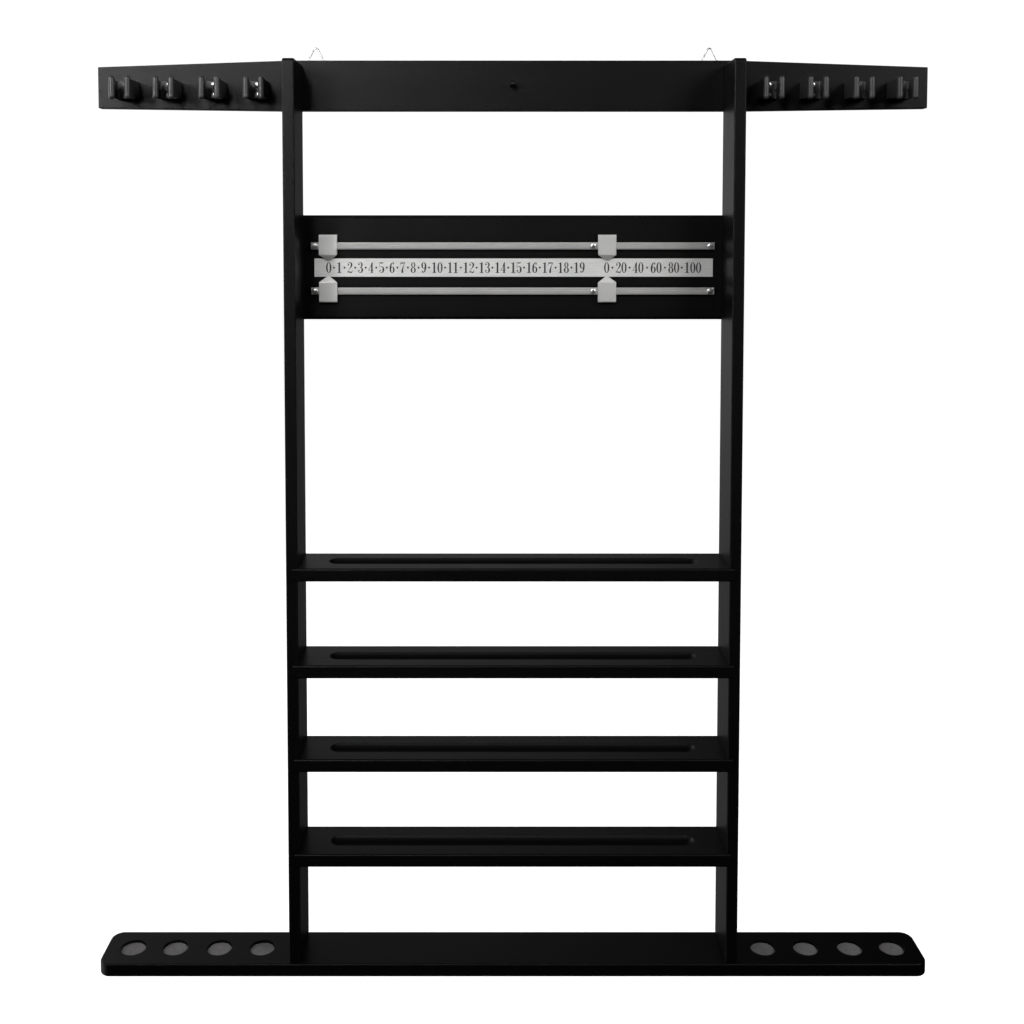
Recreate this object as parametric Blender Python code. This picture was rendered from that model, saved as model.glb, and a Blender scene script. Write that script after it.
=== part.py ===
"""Wall cue rack: eight cues, four ball shelves and a sliding score panel.

Frame: metres, +Z up, the wall is the plane Y = 0 and the front of the rack faces -Y.
The origin is the centre of the top board's back face. Heights below are named from the
underside of the base board, and up() turns them into Z.
"""
import math

import bmesh
import bpy
from mathutils import Matrix, Vector

GAP = 0.0003                    # clearance that touching pieces keep
CUT_PAST = 0.002                # how far cutters run past the face they cut
BOARD_T = 0.016                 # thickness of top board, posts and score panel
SHELF_T = 0.018                 # thickness of shelves and base board
EDGE_R = 0.0015                 # softened edge of every lacquered board

# heights above the underside of the base board
TOP_MID = 1.2265
POST_TOP = 1.2545
PANEL_MID = 0.974
STRIP_MID = 0.9738
RAIL_HEIGHTS = {"upper": 1.0041, "lower": 0.9411}
SHELF_TOPS = (0.5692, 0.4359, 0.3058, 0.1732)
PEG_HEIGHT = 1.228
PEG_R = 0.0045
PEG_LEN = 0.015
PEG_NOSE = 0.0035               # length of the rounded nose
PEG_SPIGOT = 0.009
PEG_SPIGOT_R = 0.003

# widths and depths
WING_TIP_X = 0.576
POST_OUTER_X = 0.308
POST_DEPTH = 0.076
TOP_H = 0.0696
WING_TOP_DROP = 0.0092          # the wing's upper edge falls by this towards its tip
WING_BOTTOM_RISE = 0.0037       # and its lower edge rises by this
PANEL_H = 0.146
PANEL_HALF = 0.300
PANEL_CHAMFERS = (0.004, 0.005)  # lower and upper front edge
CHAMFER_LEAN = 0.7              # depth of a chamfer for its height
DADO_DEPTH = 0.007
SHELF_PROUD = 0.0012
BASE_HALF = 0.5715
BASE_CORNER_R = 0.016
BASE_EDGE_R = 0.002
POST_TOP_R = 0.006              # rounded upper front corner
POST_CORNER_R = 0.0022
POST_EDGE_R = 0.0018
SHELF_NOSE_R = 0.0025

GROOVE_R = 0.017                # radius of the ball groove's section
GROOVE_W = 0.028
GROOVE_HALF = 0.254

CUE_XS = (-0.533, -0.474, -0.412, -0.352, 0.352, 0.412, 0.474, 0.533)
CUE_Y = -0.0543                 # cue axis: middle of the base board's depth
BUTT_R = 0.0175
BUTT_DEPTH = 0.0055
FELT_T = 0.002
FELT_PLAY = 0.0005              # felt disc's radius under its recess
CLIP_HEIGHT = 1.2188
CLIP_W = 0.026
CLIP_WALL = 0.003
CLIP_BACK = 0.014
CLIP_JAW_H = 0.024
LIP_R = 0.00425
LIP_X = 0.0103
LIP_REACH = 0.043
LIP_H = 0.0315
LIP_CHAMFER = 0.0022
CLIP_BACK_R = 0.0015
CLIP_THROAT_R = 0.003
CLIP_SCREW_SPACING = 0.014

STRIP_SIZE = (0.557, 0.001, 0.0255)
STRIP_X = 0.0013                # the strip sits this far right of the middle
RAIL_HALF = 0.281
RAIL_H = 0.0098
RAIL_WEB = (0.006, 0.0036)      # height and depth of the foot behind the flange
RAIL_FLANGE = 0.0022
RAIL_EDGE_R = 0.0012
RAIL_GROOVE = 0.0005            # depth and half width of the groove along the rail's face
RAIL_GROOVE_Z = 0.0012          # above the rail's middle
RAIL_SCREW_XS = (-0.2755, 0.112, 0.275)
SLIDER_XS = {"left": -0.2575, "right": 0.1316}
SLIDER_W = 0.025
SLIDER_H = 0.0282
SLIDER_SHIFT = 0.0017           # the face sits this much further from the strip than the rail
SLIDER_BACK_GAP = 0.0007        # between the folded edge and the panel
SLIDER_GAP = 0.00035
SHEET_T = 0.0012
TOP_FOLD_R = 0.0012
POINTER_FOLD_R = 0.002
POINTER_LEN = 0.0080
POINTER_RISE = 0.0011           # pointer tip in front of the strip
POINTER_TIP = (0.0034, 0.0018)  # half widths just before and at the pointer's blunt tip
CHEEK_INSET = 0.0001            # of the end cheeks from the folded sheet's sides
CHEEK_MARGIN = 0.001            # of the end cheeks inside the folded sheet's edges

HANGER_XS = {"left": -0.275, "right": 0.275}
RING_DROP = 0.0055              # ring's hinge bar below the top board's upper edge
RING_Y = -0.0026
RING_WIRE_R = 0.0011
RING_HALF = 0.014
RING_LEN = 0.0285
RING_FOOT_R = 0.0025
RING_TOP_R = 0.0035
STRAP_HALF = 0.007
STRAP_LEN = 0.024
STRAP_T = 0.002
STRAP_LOOP_R = 0.00235
STRAP_EYE_PLAY = 0.00025        # radial play of the wire in the folded loop
RING_POCKET_HALF = 0.0165
RING_POCKET_DEPTH = 0.0053
RING_POCKET_DROP = 0.0085       # below the hinge bar
STRAP_SCREWS = (0.010, 0.019)   # below the hinge bar

# screw lengths, heads (radius, height) and shank radii
BACK_SCREW = 0.045
BASE_SCREW = 0.045
CLIP_SCREW = 0.025
RAIL_SCREW = 0.017
STRAP_SCREW = 0.009
CLIP_SCREW_HEAD = (0.0034, 0.0020)
RAIL_SCREW_HEAD = (0.0038, 0.0024)
WOOD_HEAD_R = 0.0036
WOOD_HEAD_H = 0.0036
WOOD_SHANK_R = 0.0018
SMALL_SHANK_R = 0.0016
STRAP_SHANK_R = 0.0013
BACK_SCREW_OFFSETS = {TOP_MID: 0.022, PANEL_MID: 0.050}   # above and below each board's middle
BASE_SCREW_OFFSET = 0.021       # in front of and behind the cue line
RAIL_SEAT_DEPTH = 0.0007
RAIL_SEAT_R = 0.0043

BOARD_FRONT = -BOARD_T                      # front face of top board and panel
BACK_PLANE = BOARD_FRONT - GAP              # back of what stands in front of them
FRONT_PLANE = BACK_PLANE - POST_DEPTH
POST_MID_X = POST_OUTER_X - BOARD_T / 2
RAIL_FRONT = BACK_PLANE - RAIL_WEB[1] - RAIL_FLANGE


def up(height):
    """Z of a height above the base board's underside."""
    return height - TOP_MID


RING_Z = TOP_H / 2 - RING_DROP


# ---------------------------------------------------------------- shape helpers
# A shape is a pair: a list of points and a list of faces.

def prism(outline, axis, low, high):
    """Closed outline extruded along an axis; its pairs are the two other axes in order."""
    count = len(outline)
    points = []
    for depth in (low, high):
        for pair in outline:
            point = list(pair)
            point.insert("XYZ".index(axis), depth)
            points.append(tuple(point))
    faces = [tuple(range(count)), tuple(range(count, 2 * count))]
    for i in range(count):
        j = (i + 1) % count
        faces.append((i, j, j + count, i + count))
    return points, faces


def cuboid(low, high):
    outline = [(low[0], low[1]), (high[0], low[1]), (high[0], high[1]), (low[0], high[1])]
    return prism(outline, "Z", low[2], high[2])


def fillet(corners, steps=3, closed=True):
    """Outline through (a, b, radius) corners, each radius drawn as an arc of some steps."""
    outline = []
    count = len(corners)
    for i, (a, b, radius) in enumerate(corners):
        here = Vector((a, b))
        end = not closed and i in (0, count - 1)
        if radius == 0 or end:
            outline.append((a, b))
            continue
        before = (Vector(corners[i - 1][:2]) - here).normalized()
        after = (Vector(corners[(i + 1) % count][:2]) - here).normalized()
        half = before.angle(after) / 2
        centre = here + (before + after).normalized() * (radius / math.sin(half))
        start = here + before * (radius / math.tan(half)) - centre
        stop = here + after * (radius / math.tan(half)) - centre
        sweep = start.angle_signed(stop)
        for step in range(steps + 1):
            turned_arm = start.copy()
            turned_arm.rotate(Matrix.Rotation(-sweep * step / steps, 2))
            outline.append(tuple(centre + turned_arm))
    return outline


def ribbon(path, thickness):
    """Outline of a bent sheet whose middle follows the open path."""
    sides = ([], [])
    last = len(path) - 1
    for i, point in enumerate(path):
        here = Vector(point)
        arrive = (here - Vector(path[max(i - 1, 0)])) if i else Vector(path[1]) - here
        leave = (Vector(path[min(i + 1, last)]) - here) if i < last else arrive
        normals = [Vector((-way.y, way.x)).normalized() for way in (arrive, leave)]
        mitre = normals[0] + normals[1]
        mitre = mitre * (thickness / mitre.length_squared)
        sides[0].append(tuple(here + mitre))
        sides[1].append(tuple(here - mitre))
    return sides[0] + sides[1][::-1]


def turned(profile, segments):
    """Solid of revolution about Z from (radius, height) pairs that start and end on the axis."""
    points = [(0, 0, profile[0][1])]
    for radius, height in profile[1:-1]:
        for k in range(segments):
            angle = 2 * math.pi * k / segments
            points.append((radius * math.cos(angle), radius * math.sin(angle), height))
    points.append((0, 0, profile[-1][1]))
    rings = len(profile) - 2
    faces = []
    for k in range(segments):
        n = (k + 1) % segments
        faces.append((0, 1 + n, 1 + k))
        for ring in range(rings - 1):
            base = 1 + ring * segments
            faces.append((base + k, base + n, base + segments + n, base + segments + k))
        base = 1 + (rings - 1) * segments
        faces.append((base + k, base + n, len(points) - 1))
    return points, faces


def cylinder(radius, low, high, segments):
    return turned([(0, low), (radius, low), (radius, high), (0, high)], segments)


def placed(shape, matrix):
    points = [tuple(matrix @ Vector(point)) for point in shape[0]]
    return points, shape[1]


def joined(shapes):
    points = []
    faces = []
    for shape in shapes:
        offset = len(points)
        points += shape[0]
        faces += [tuple(index + offset for index in face) for face in shape[1]]
    return points, faces


def at(x, y, z, turn=None):
    """Placement whose local +Z points along a named direction."""
    turns = {
        None: Matrix.Identity(4),
        "+Y": Matrix.Rotation(-math.pi / 2, 4, "X"),
        "-Y": Matrix.Rotation(math.pi / 2, 4, "X"),
        "+X": Matrix.Rotation(math.pi / 2, 4, "Y"),
        "-X": Matrix.Rotation(-math.pi / 2, 4, "Y"),
        "-Z": Matrix.Rotation(math.pi, 4, "X"),
    }
    return Matrix.Translation((x, y, z)) @ turns[turn]


# ---------------------------------------------------------------- object helpers

def material(name, colour, roughness, metallic=0.0):
    found = bpy.data.materials.get(name)
    if found:
        return found
    made = bpy.data.materials.new(name)
    made.use_nodes = True
    shader = made.node_tree.nodes["Principled BSDF"]
    shader.inputs["Base Color"].default_value = (*colour, 1.0)
    shader.inputs["Roughness"].default_value = roughness
    shader.inputs["Metallic"].default_value = metallic
    return made


def lacquer():
    return material("black_lacquer", (0.012, 0.012, 0.013), 0.4)


def aluminium():
    return material("satin_aluminium", (0.62, 0.61, 0.60), 0.38, 1.0)


def chrome():
    return material("plated_steel", (0.72, 0.72, 0.73), 0.2, 1.0)


def clip_plastic():
    return material("clip_plastic", (0.05, 0.05, 0.052), 0.45)


def felt():
    return material("grey_felt", (0.13, 0.125, 0.128), 0.95)


def mesh_of(name, shape):
    mesh = bpy.data.meshes.new(name)
    work = bmesh.new()
    corners = [work.verts.new(point) for point in shape[0]]
    for face in shape[1]:
        work.faces.new([corners[index] for index in face])
    bmesh.ops.recalc_face_normals(work, faces=work.faces)
    work.to_mesh(mesh)
    work.free()
    return mesh


def add_piece(name, mesh, look, location=(0, 0, 0), rotation=(0, 0, 0), smooth=False):
    piece = bpy.data.objects.new(name, mesh)
    bpy.context.collection.objects.link(piece)
    piece.location = location
    piece.rotation_euler = rotation
    if not mesh.materials:
        mesh.materials.append(look)
    if smooth:
        mesh.shade_smooth()
        mesh.set_sharp_from_angle(angle=math.radians(35))
    return piece


def soften(piece, width=EDGE_R, segments=2):
    bevel = piece.modifiers.new("soft_edges", "BEVEL")
    bevel.width = width
    bevel.segments = segments
    bevel.limit_method = "ANGLE"
    bevel.angle_limit = math.radians(40)


def combine(piece, name, shape, operation):
    """Cut a shape from a piece, or join it on, with an exact Boolean."""
    tool = bpy.data.objects.new(name, mesh_of(name, shape))
    bpy.context.collection.objects.link(tool)
    tool.hide_render = True
    tool.display_type = "WIRE"
    boolean = piece.modifiers.new(name, "BOOLEAN")
    boolean.operation = operation
    boolean.solver = "EXACT"
    boolean.object = tool


def finished_mesh(piece):
    """Evaluate a piece built at the origin, remove it, and return the mesh to share."""
    graph = bpy.context.evaluated_depsgraph_get()
    mesh = bpy.data.meshes.new_from_object(piece.evaluated_get(graph))
    tools = [modifier.object for modifier in piece.modifiers if modifier.type == "BOOLEAN"]
    for item in tools + [piece]:
        bpy.data.objects.remove(item, do_unlink=True)
    return mesh


# ---------------------------------------------------------------- fasteners

def flat_screw_hole(length):
    """Countersunk hole for a wood screw, its mouth at z = 0 and its end towards -Z."""
    profile = [
        (0, CUT_PAST),
        (WOOD_HEAD_R + GAP, CUT_PAST),
        (WOOD_HEAD_R + GAP, -GAP),
        (WOOD_SHANK_R + GAP, -WOOD_HEAD_H),
        (WOOD_SHANK_R + GAP, -length - GAP),
        (0, -length - GAP),
    ]
    return turned(profile, 8)


def pan_screw(length, head):
    """Pan-head screw whose head rests on z = 0 and whose tip points towards -Z."""
    radius, height = head
    profile = [
        (0, height),
        (radius * 0.60, height * 0.92),
        (radius, height * 0.45),
        (radius, GAP),
        (SMALL_SHANK_R, GAP),
        (SMALL_SHANK_R, -length + 2 * SMALL_SHANK_R),
        (0, -length),
    ]
    return turned(profile, 10)


def screw_hole(length, shank_r):
    return cylinder(shank_r + GAP, -length - GAP, CUT_PAST, 8)


def back_screw_spots():
    """Screws through top board and panel into the posts' back edges."""
    spots = []
    for side in (-1, 1):
        for board_mid, offset in BACK_SCREW_OFFSETS.items():
            for height in (board_mid - offset, board_mid + offset):
                spots.append(at(side * POST_MID_X, 0, up(height), "+Y"))
    return spots


def base_screw_spots():
    """Screws from under the base board into the posts' feet."""
    spots = []
    for side in (-1, 1):
        for y in (CUE_Y - BASE_SCREW_OFFSET, CUE_Y + BASE_SCREW_OFFSET):
            spots.append(at(side * POST_MID_X, y, up(0), "-Z"))
    return spots


def clip_screw_spots():
    """Each clip's lower and upper screw, in the clips' order."""
    spots = []
    for x in CUE_XS:
        for side in (-1, 1):
            z = up(CLIP_HEIGHT) + side * CLIP_SCREW_SPACING / 2
            spots.append(at(x, BACK_PLANE - CLIP_BACK, z, "-Y"))
    return spots


def rail_screw_spots(height):
    """Seats of a rail's screws, from left to right."""
    return [at(x, RAIL_FRONT + RAIL_SEAT_DEPTH, up(height), "-Y") for x in RAIL_SCREW_XS]


def strap_screw_spots(x):
    return [at(x, RING_Y + STRAP_T / 2, RING_Z - drop, "+Y") for drop in STRAP_SCREWS]


def add_clip_screws():
    mesh = mesh_of("clip_screw", pan_screw(CLIP_SCREW, CLIP_SCREW_HEAD))
    for index, spot in enumerate(clip_screw_spots()):
        name = f"clip_screw_{index // 2 + 1}_{('lower', 'upper')[index % 2]}"
        add_piece(name, mesh, chrome(), spot.translation, spot.to_euler(), smooth=True)


def add_rail_screws():
    """The screws' heads stand proud of the rails, so they also stop the sliders."""
    mesh = mesh_of("rail_screw", pan_screw(RAIL_SCREW, RAIL_SCREW_HEAD))
    for level, height in RAIL_HEIGHTS.items():
        for place, spot in zip(("left", "middle", "right"), rail_screw_spots(height)):
            name = f"rail_screw_{level}_{place}"
            add_piece(name, mesh, chrome(), spot.translation, spot.to_euler(), smooth=True)


# ---------------------------------------------------------------- boards

def add_top_board():
    """One board across both posts, its wings tapered towards their tips."""
    high = TOP_H / 2
    right = [
        (POST_OUTER_X, -high),
        (WING_TIP_X, -high + WING_BOTTOM_RISE),
        (WING_TIP_X, high - WING_TOP_DROP),
        (POST_OUTER_X, high),
    ]
    outline = right + [(-x, z) for x, z in reversed(right)]
    mesh = mesh_of("top_board", prism(outline, "Y", BOARD_FRONT, 0))
    board = add_piece("top_board", mesh, lacquer())
    soften(board)
    ring_pockets = []
    strap_pockets = []
    for x in HANGER_XS.values():
        low = (x - RING_POCKET_HALF, -RING_POCKET_DEPTH, RING_Z - RING_POCKET_DROP)
        ring_pockets.append(cuboid(low, (x + RING_POCKET_HALF, CUT_PAST, high + CUT_PAST)))
        strap_half = STRAP_HALF + GAP
        low = (x - strap_half, RING_Y - STRAP_T / 2 - GAP, RING_Z - STRAP_LEN - GAP)
        strap_pockets.append(cuboid(low, (x + strap_half, CUT_PAST, RING_Z)))
    combine(board, "top_board_ring_pockets", joined(ring_pockets), "DIFFERENCE")
    combine(board, "top_board_strap_pockets", joined(strap_pockets), "DIFFERENCE")
    clip_hole = screw_hole(CLIP_SCREW, SMALL_SHANK_R)
    holes = [placed(clip_hole, spot) for spot in clip_screw_spots()]
    for x in HANGER_XS.values():
        strap_hole = screw_hole(STRAP_SCREW, STRAP_SHANK_R)
        holes += [placed(strap_hole, spot) for spot in strap_screw_spots(x)]
    holes += [placed(flat_screw_hole(BACK_SCREW), spot) for spot in back_screw_spots()]
    peg_hole = cylinder(PEG_SPIGOT_R + GAP, -PEG_SPIGOT - GAP, CUT_PAST, 16)
    holes.append(placed(peg_hole, at(0, BOARD_FRONT, up(PEG_HEIGHT), "-Y")))
    combine(board, "top_board_holes", joined(holes), "DIFFERENCE")


def add_score_panel():
    low_cut, high_cut = PANEL_CHAMFERS
    low = up(PANEL_MID) - PANEL_H / 2
    high = low + PANEL_H
    outline = [
        (0, low),
        (0, high),
        (BOARD_FRONT + high_cut * CHAMFER_LEAN, high),
        (BOARD_FRONT, high - high_cut),
        (BOARD_FRONT, low + low_cut),
        (BOARD_FRONT + low_cut * CHAMFER_LEAN, low),
    ]
    mesh = mesh_of("score_panel", prism(outline, "X", -PANEL_HALF, PANEL_HALF))
    panel = add_piece("score_panel", mesh, lacquer())
    holes = [placed(flat_screw_hole(BACK_SCREW), spot) for spot in back_screw_spots()]
    for height in RAIL_HEIGHTS.values():
        rail_hole = screw_hole(RAIL_SCREW, SMALL_SHANK_R)
        holes += [placed(rail_hole, spot) for spot in rail_screw_spots(height)]
    combine(panel, "score_panel_holes", joined(holes), "DIFFERENCE")


def add_post(name, side):
    """Upright board with a housing for each shelf across its inner face."""
    corners = [
        (BACK_PLANE, up(SHELF_T) + GAP, POST_CORNER_R),
        (BACK_PLANE, up(POST_TOP), POST_CORNER_R),
        (FRONT_PLANE, up(POST_TOP), POST_TOP_R),
        (FRONT_PLANE, up(SHELF_T) + GAP, POST_CORNER_R),
    ]
    outer = side * POST_OUTER_X
    inner = side * (POST_OUTER_X - BOARD_T)
    shape = prism(fillet(corners), "X", min(outer, inner), max(outer, inner))
    post = add_piece(name, mesh_of(name, shape), lacquer())
    soften(post, POST_EDGE_R)
    floor_x = side * (POST_OUTER_X - BOARD_T + DADO_DEPTH + GAP)
    open_x = side * (POST_OUTER_X - BOARD_T - CUT_PAST)
    housings = []
    for top in SHELF_TOPS:
        low = (min(floor_x, open_x), FRONT_PLANE - CUT_PAST, up(top - SHELF_T) - GAP)
        high = (max(floor_x, open_x), BACK_PLANE + CUT_PAST, up(top) + GAP)
        housings.append(cuboid(low, high))
    combine(post, name + "_housings", joined(housings), "DIFFERENCE")
    spots = back_screw_spots() + base_screw_spots()
    holes = [placed(flat_screw_hole(BACK_SCREW), spot) for spot in spots if spot.translation.x * side > 0]
    combine(post, name + "_holes", joined(holes), "DIFFERENCE")


def groove_cutter():
    """Bar with ball ends, lying along X, that leaves a rounded groove with round ends."""
    rise = math.sqrt(GROOVE_R ** 2 - (GROOVE_W / 2) ** 2)
    half = GROOVE_HALF - GROOVE_W / 2
    steps = 9
    profile = []
    for k in range(steps + 1):
        angle = math.pi / 2 * k / steps
        profile.append((GROOVE_R * math.sin(angle), -half - GROOVE_R * math.cos(angle)))
    profile += [(radius, -height) for radius, height in reversed(profile)]
    return turned(profile, 36), rise


def add_shelf(name, top):
    front = FRONT_PLANE - SHELF_PROUD
    low = up(top - SHELF_T)
    high = up(top)
    corners = [
        (BACK_PLANE, low, EDGE_R),
        (BACK_PLANE, high, EDGE_R),
        (front, high, SHELF_NOSE_R),
        (front, low, SHELF_NOSE_R),
    ]
    end = POST_OUTER_X - BOARD_T + DADO_DEPTH
    shelf = add_piece(name, mesh_of(name, prism(fillet(corners), "X", -end, end)), lacquer())
    cutter, rise = groove_cutter()
    groove = placed(cutter, at(0, (front + BACK_PLANE) / 2, high + rise, "+X"))
    combine(shelf, name + "_groove", groove, "DIFFERENCE")


def add_base_board():
    corners = [
        (-BASE_HALF, BACK_PLANE, BASE_CORNER_R),
        (BASE_HALF, BACK_PLANE, BASE_CORNER_R),
        (BASE_HALF, FRONT_PLANE, BASE_CORNER_R),
        (-BASE_HALF, FRONT_PLANE, BASE_CORNER_R),
    ]
    shape = prism(fillet(corners, 4), "Z", up(0), up(SHELF_T))
    board = add_piece("base_board", mesh_of("base_board", shape), lacquer())
    soften(board, BASE_EDGE_R)
    butt = cylinder(BUTT_R, -BUTT_DEPTH, CUT_PAST, 24)
    butts = [placed(butt, at(x, CUE_Y, up(SHELF_T))) for x in CUE_XS]
    combine(board, "base_board_recesses", joined(butts), "DIFFERENCE")
    holes = [placed(flat_screw_hole(BASE_SCREW), spot) for spot in base_screw_spots()]
    combine(board, "base_board_holes", joined(holes), "DIFFERENCE")


# ---------------------------------------------------------------- cue stations

def add_butt_felts():
    low = up(SHELF_T) - BUTT_DEPTH + GAP
    mesh = mesh_of("butt_felt", cylinder(BUTT_R - FELT_PLAY, 0, FELT_T, 24))
    for number, x in enumerate(CUE_XS, 1):
        add_piece(f"butt_felt_{number}", mesh, felt(), (x, CUE_Y, low), smooth=True)


def clip_mesh():
    """Spring clip: a block with two jaws that end in upright round lips."""
    half = CLIP_W / 2
    inner = half - CLIP_WALL
    right = [
        (0, 0, 0),
        (half, 0, CLIP_BACK_R),
        (half, -LIP_REACH, 0),
        (inner, -LIP_REACH, 0),
        (inner, -CLIP_BACK, CLIP_THROAT_R),
        (0, -CLIP_BACK, 0),
    ]
    left = [(-x, y, radius) for x, y, radius in reversed(right[1:-1])]
    body = prism(fillet(right + left), "Z", -CLIP_JAW_H / 2, CLIP_JAW_H / 2)
    clip = add_piece("clip", mesh_of("clip", body), clip_plastic())
    for side, name in ((-1, "lip_left"), (1, "lip_right")):
        end = LIP_H / 2
        narrow = LIP_R - LIP_CHAMFER
        profile = [(0, -end), (narrow, -end), (LIP_R, LIP_CHAMFER - end),
                   (LIP_R, end - LIP_CHAMFER), (narrow, end), (0, end)]
        lip = placed(turned(profile, 14), at(side * LIP_X, -LIP_REACH, 0))
        combine(clip, name, lip, "UNION")
    holes = []
    for side in (-1, 1):
        spot = at(0, -CLIP_BACK, side * CLIP_SCREW_SPACING / 2, "-Y")
        holes.append(placed(screw_hole(CLIP_SCREW, SMALL_SHANK_R), spot))
    combine(clip, "clip_holes", joined(holes), "DIFFERENCE")
    return finished_mesh(clip)


def add_cue_clips():
    mesh = clip_mesh()
    for number, x in enumerate(CUE_XS, 1):
        place = (x, BACK_PLANE, up(CLIP_HEIGHT))
        add_piece(f"cue_clip_{number}", mesh, clip_plastic(), place, smooth=True)


def add_triangle_peg():
    """Short peg with a rounded nose, glued into the top board."""
    profile = [
        (0, -PEG_SPIGOT),
        (PEG_SPIGOT_R, -PEG_SPIGOT),
        (PEG_SPIGOT_R, GAP),
        (PEG_R, GAP),
        (PEG_R, PEG_LEN - PEG_NOSE),
        (PEG_R * 0.88, PEG_LEN - PEG_NOSE * 0.47),
        (PEG_R * 0.55, PEG_LEN - PEG_NOSE * 0.16),
        (0, PEG_LEN),
    ]
    shape = placed(turned(profile, 16), at(0, BOARD_FRONT, up(PEG_HEIGHT), "-Y"))
    add_piece("triangle_peg", mesh_of("triangle_peg", shape), lacquer(), smooth=True)


# ---------------------------------------------------------------- score keeping

def add_number_strip():
    half = STRIP_SIZE[0] / 2
    low = up(STRIP_MID) - STRIP_SIZE[2] / 2
    front = BACK_PLANE - STRIP_SIZE[1]
    shape = cuboid((STRIP_X - half, front, low), (STRIP_X + half, BACK_PLANE, low + STRIP_SIZE[2]))
    add_piece("number_strip", mesh_of("number_strip", shape), aluminium())


def add_rail(name, height):
    """T-shaped rail: a grooved flange held off the panel by a narrower foot."""
    half = RAIL_H / 2
    foot = RAIL_WEB[0] / 2
    step = BACK_PLANE - RAIL_WEB[1]
    corners = [
        (BACK_PLANE, -foot, 0),
        (BACK_PLANE, foot, 0),
        (step, foot, 0),
        (step, half, 0),
        (RAIL_FRONT, half, RAIL_EDGE_R),
        (RAIL_FRONT, RAIL_GROOVE_Z + RAIL_GROOVE, 0),
        (RAIL_FRONT + RAIL_GROOVE, RAIL_GROOVE_Z, 0),
        (RAIL_FRONT, RAIL_GROOVE_Z - RAIL_GROOVE, 0),
        (RAIL_FRONT, -half, RAIL_EDGE_R),
        (step, -half, 0),
        (step, -foot, 0),
    ]
    mesh = mesh_of(name, prism(fillet(corners), "X", -RAIL_HALF, RAIL_HALF))
    rail = add_piece(name, mesh, aluminium(), (0, 0, up(height)))
    spots = rail_screw_spots(height)
    holes = [placed(screw_hole(RAIL_SCREW, SMALL_SHANK_R), spot) for spot in spots]
    combine(rail, name + "_holes", joined(holes), "DIFFERENCE")
    seats = [placed(cylinder(RAIL_SEAT_R, 0, CUT_PAST, 20), spot) for spot in spots]
    combine(rail, name + "_seats", joined(seats), "DIFFERENCE")


def slider_mesh():
    """Folded sheet box that threads onto the rail, with a pointer bent back to the strip.

    Its origin is on the slide axis, in the rail's front face.
    """
    fold = -SLIDER_GAP - SHEET_T / 2
    half = SLIDER_W / 2
    top = SLIDER_SHIFT + SLIDER_H / 2
    bottom = SLIDER_SHIFT - SLIDER_H / 2
    tip = bottom - POINTER_LEN
    past = SHEET_T * 2
    back = BACK_PLANE - RAIL_FRONT - SLIDER_BACK_GAP
    strip_face = BACK_PLANE - STRIP_SIZE[1] - RAIL_FRONT
    path = fillet([
        (back, top - SHEET_T / 2, 0),
        (fold, top - SHEET_T / 2, TOP_FOLD_R),
        (fold, bottom, POINTER_FOLD_R),
        (strip_face - POINTER_RISE, tip, 0),
    ], 3, closed=False)
    sheet = prism(ribbon(path, SHEET_T), "X", -half, half)
    slider = add_piece("slider", mesh_of("slider", sheet), aluminium())
    for side, name in ((-1, "slider_trim_left"), (1, "slider_trim_right")):
        outline = [
            (side * (half + past), bottom),
            (side * half, bottom),
            (side * POINTER_TIP[0], tip + SHEET_T),
            (side * POINTER_TIP[1], tip),
            (0, tip - GAP),
            (0, tip - past),
            (side * (half + past), tip - past),
        ]
        combine(slider, name, prism(outline, "Y", fold - past, back + past), "DIFFERENCE")
    flange = RAIL_H / 2 + GAP
    foot = RAIL_WEB[0] / 2 + GAP
    lip = RAIL_FLANGE + GAP
    low = bottom + CHEEK_MARGIN
    high = top - CHEEK_MARGIN
    cheek = [
        (fold, low),
        (fold, high),
        (back, high),
        (back, foot),
        (lip, foot),
        (lip, flange),
        (-GAP, flange),
        (-GAP, -flange),
        (lip, -flange),
        (lip, -foot),
        (back, -foot),
        (back, low),
    ]
    outside = half - CHEEK_INSET
    inside = outside - SHEET_T
    combine(slider, "slider_cheek_left", prism(cheek, "X", -outside, -inside), "UNION")
    combine(slider, "slider_cheek_right", prism(cheek, "X", inside, outside), "UNION")
    return finished_mesh(slider)


def add_sliders():
    mesh = slider_mesh()
    turns = {"upper": (0, 0, 0), "lower": (0, math.pi, 0)}
    for level, height in RAIL_HEIGHTS.items():
        for side, x in SLIDER_XS.items():
            place = (x, RAIL_FRONT, up(height))
            add_piece(f"slider_{level}_{side}", mesh, aluminium(), place, turns[level], smooth=True)


# ---------------------------------------------------------------- wall hangers

def ring_shape():
    """Closed triangular wire ring standing on its hinge bar, which lies on the local X axis."""
    corners = [(-RING_HALF, 0, RING_FOOT_R), (RING_HALF, 0, RING_FOOT_R), (0, RING_LEN, RING_TOP_R)]
    outline = fillet(corners, 4)
    count = len(outline)
    sides = 8
    points = []
    faces = []
    for i, (x, z) in enumerate(outline):
        here = Vector((x, z))
        arrive = (here - Vector(outline[i - 1])).normalized()
        leave = (Vector(outline[(i + 1) % count]) - here).normalized()
        way = (arrive + leave).normalized()
        across = Vector((-way.y, way.x))
        for k in range(sides):
            angle = 2 * math.pi * (k + 0.5) / sides
            shift = RING_WIRE_R * math.cos(angle)
            points.append((x + across.x * shift, RING_WIRE_R * math.sin(angle), z + across.y * shift))
            n = (k + 1) % sides
            j = (i + 1) % count
            faces.append((i * sides + k, i * sides + n, j * sides + n, j * sides + k))
    return points, faces


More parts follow.
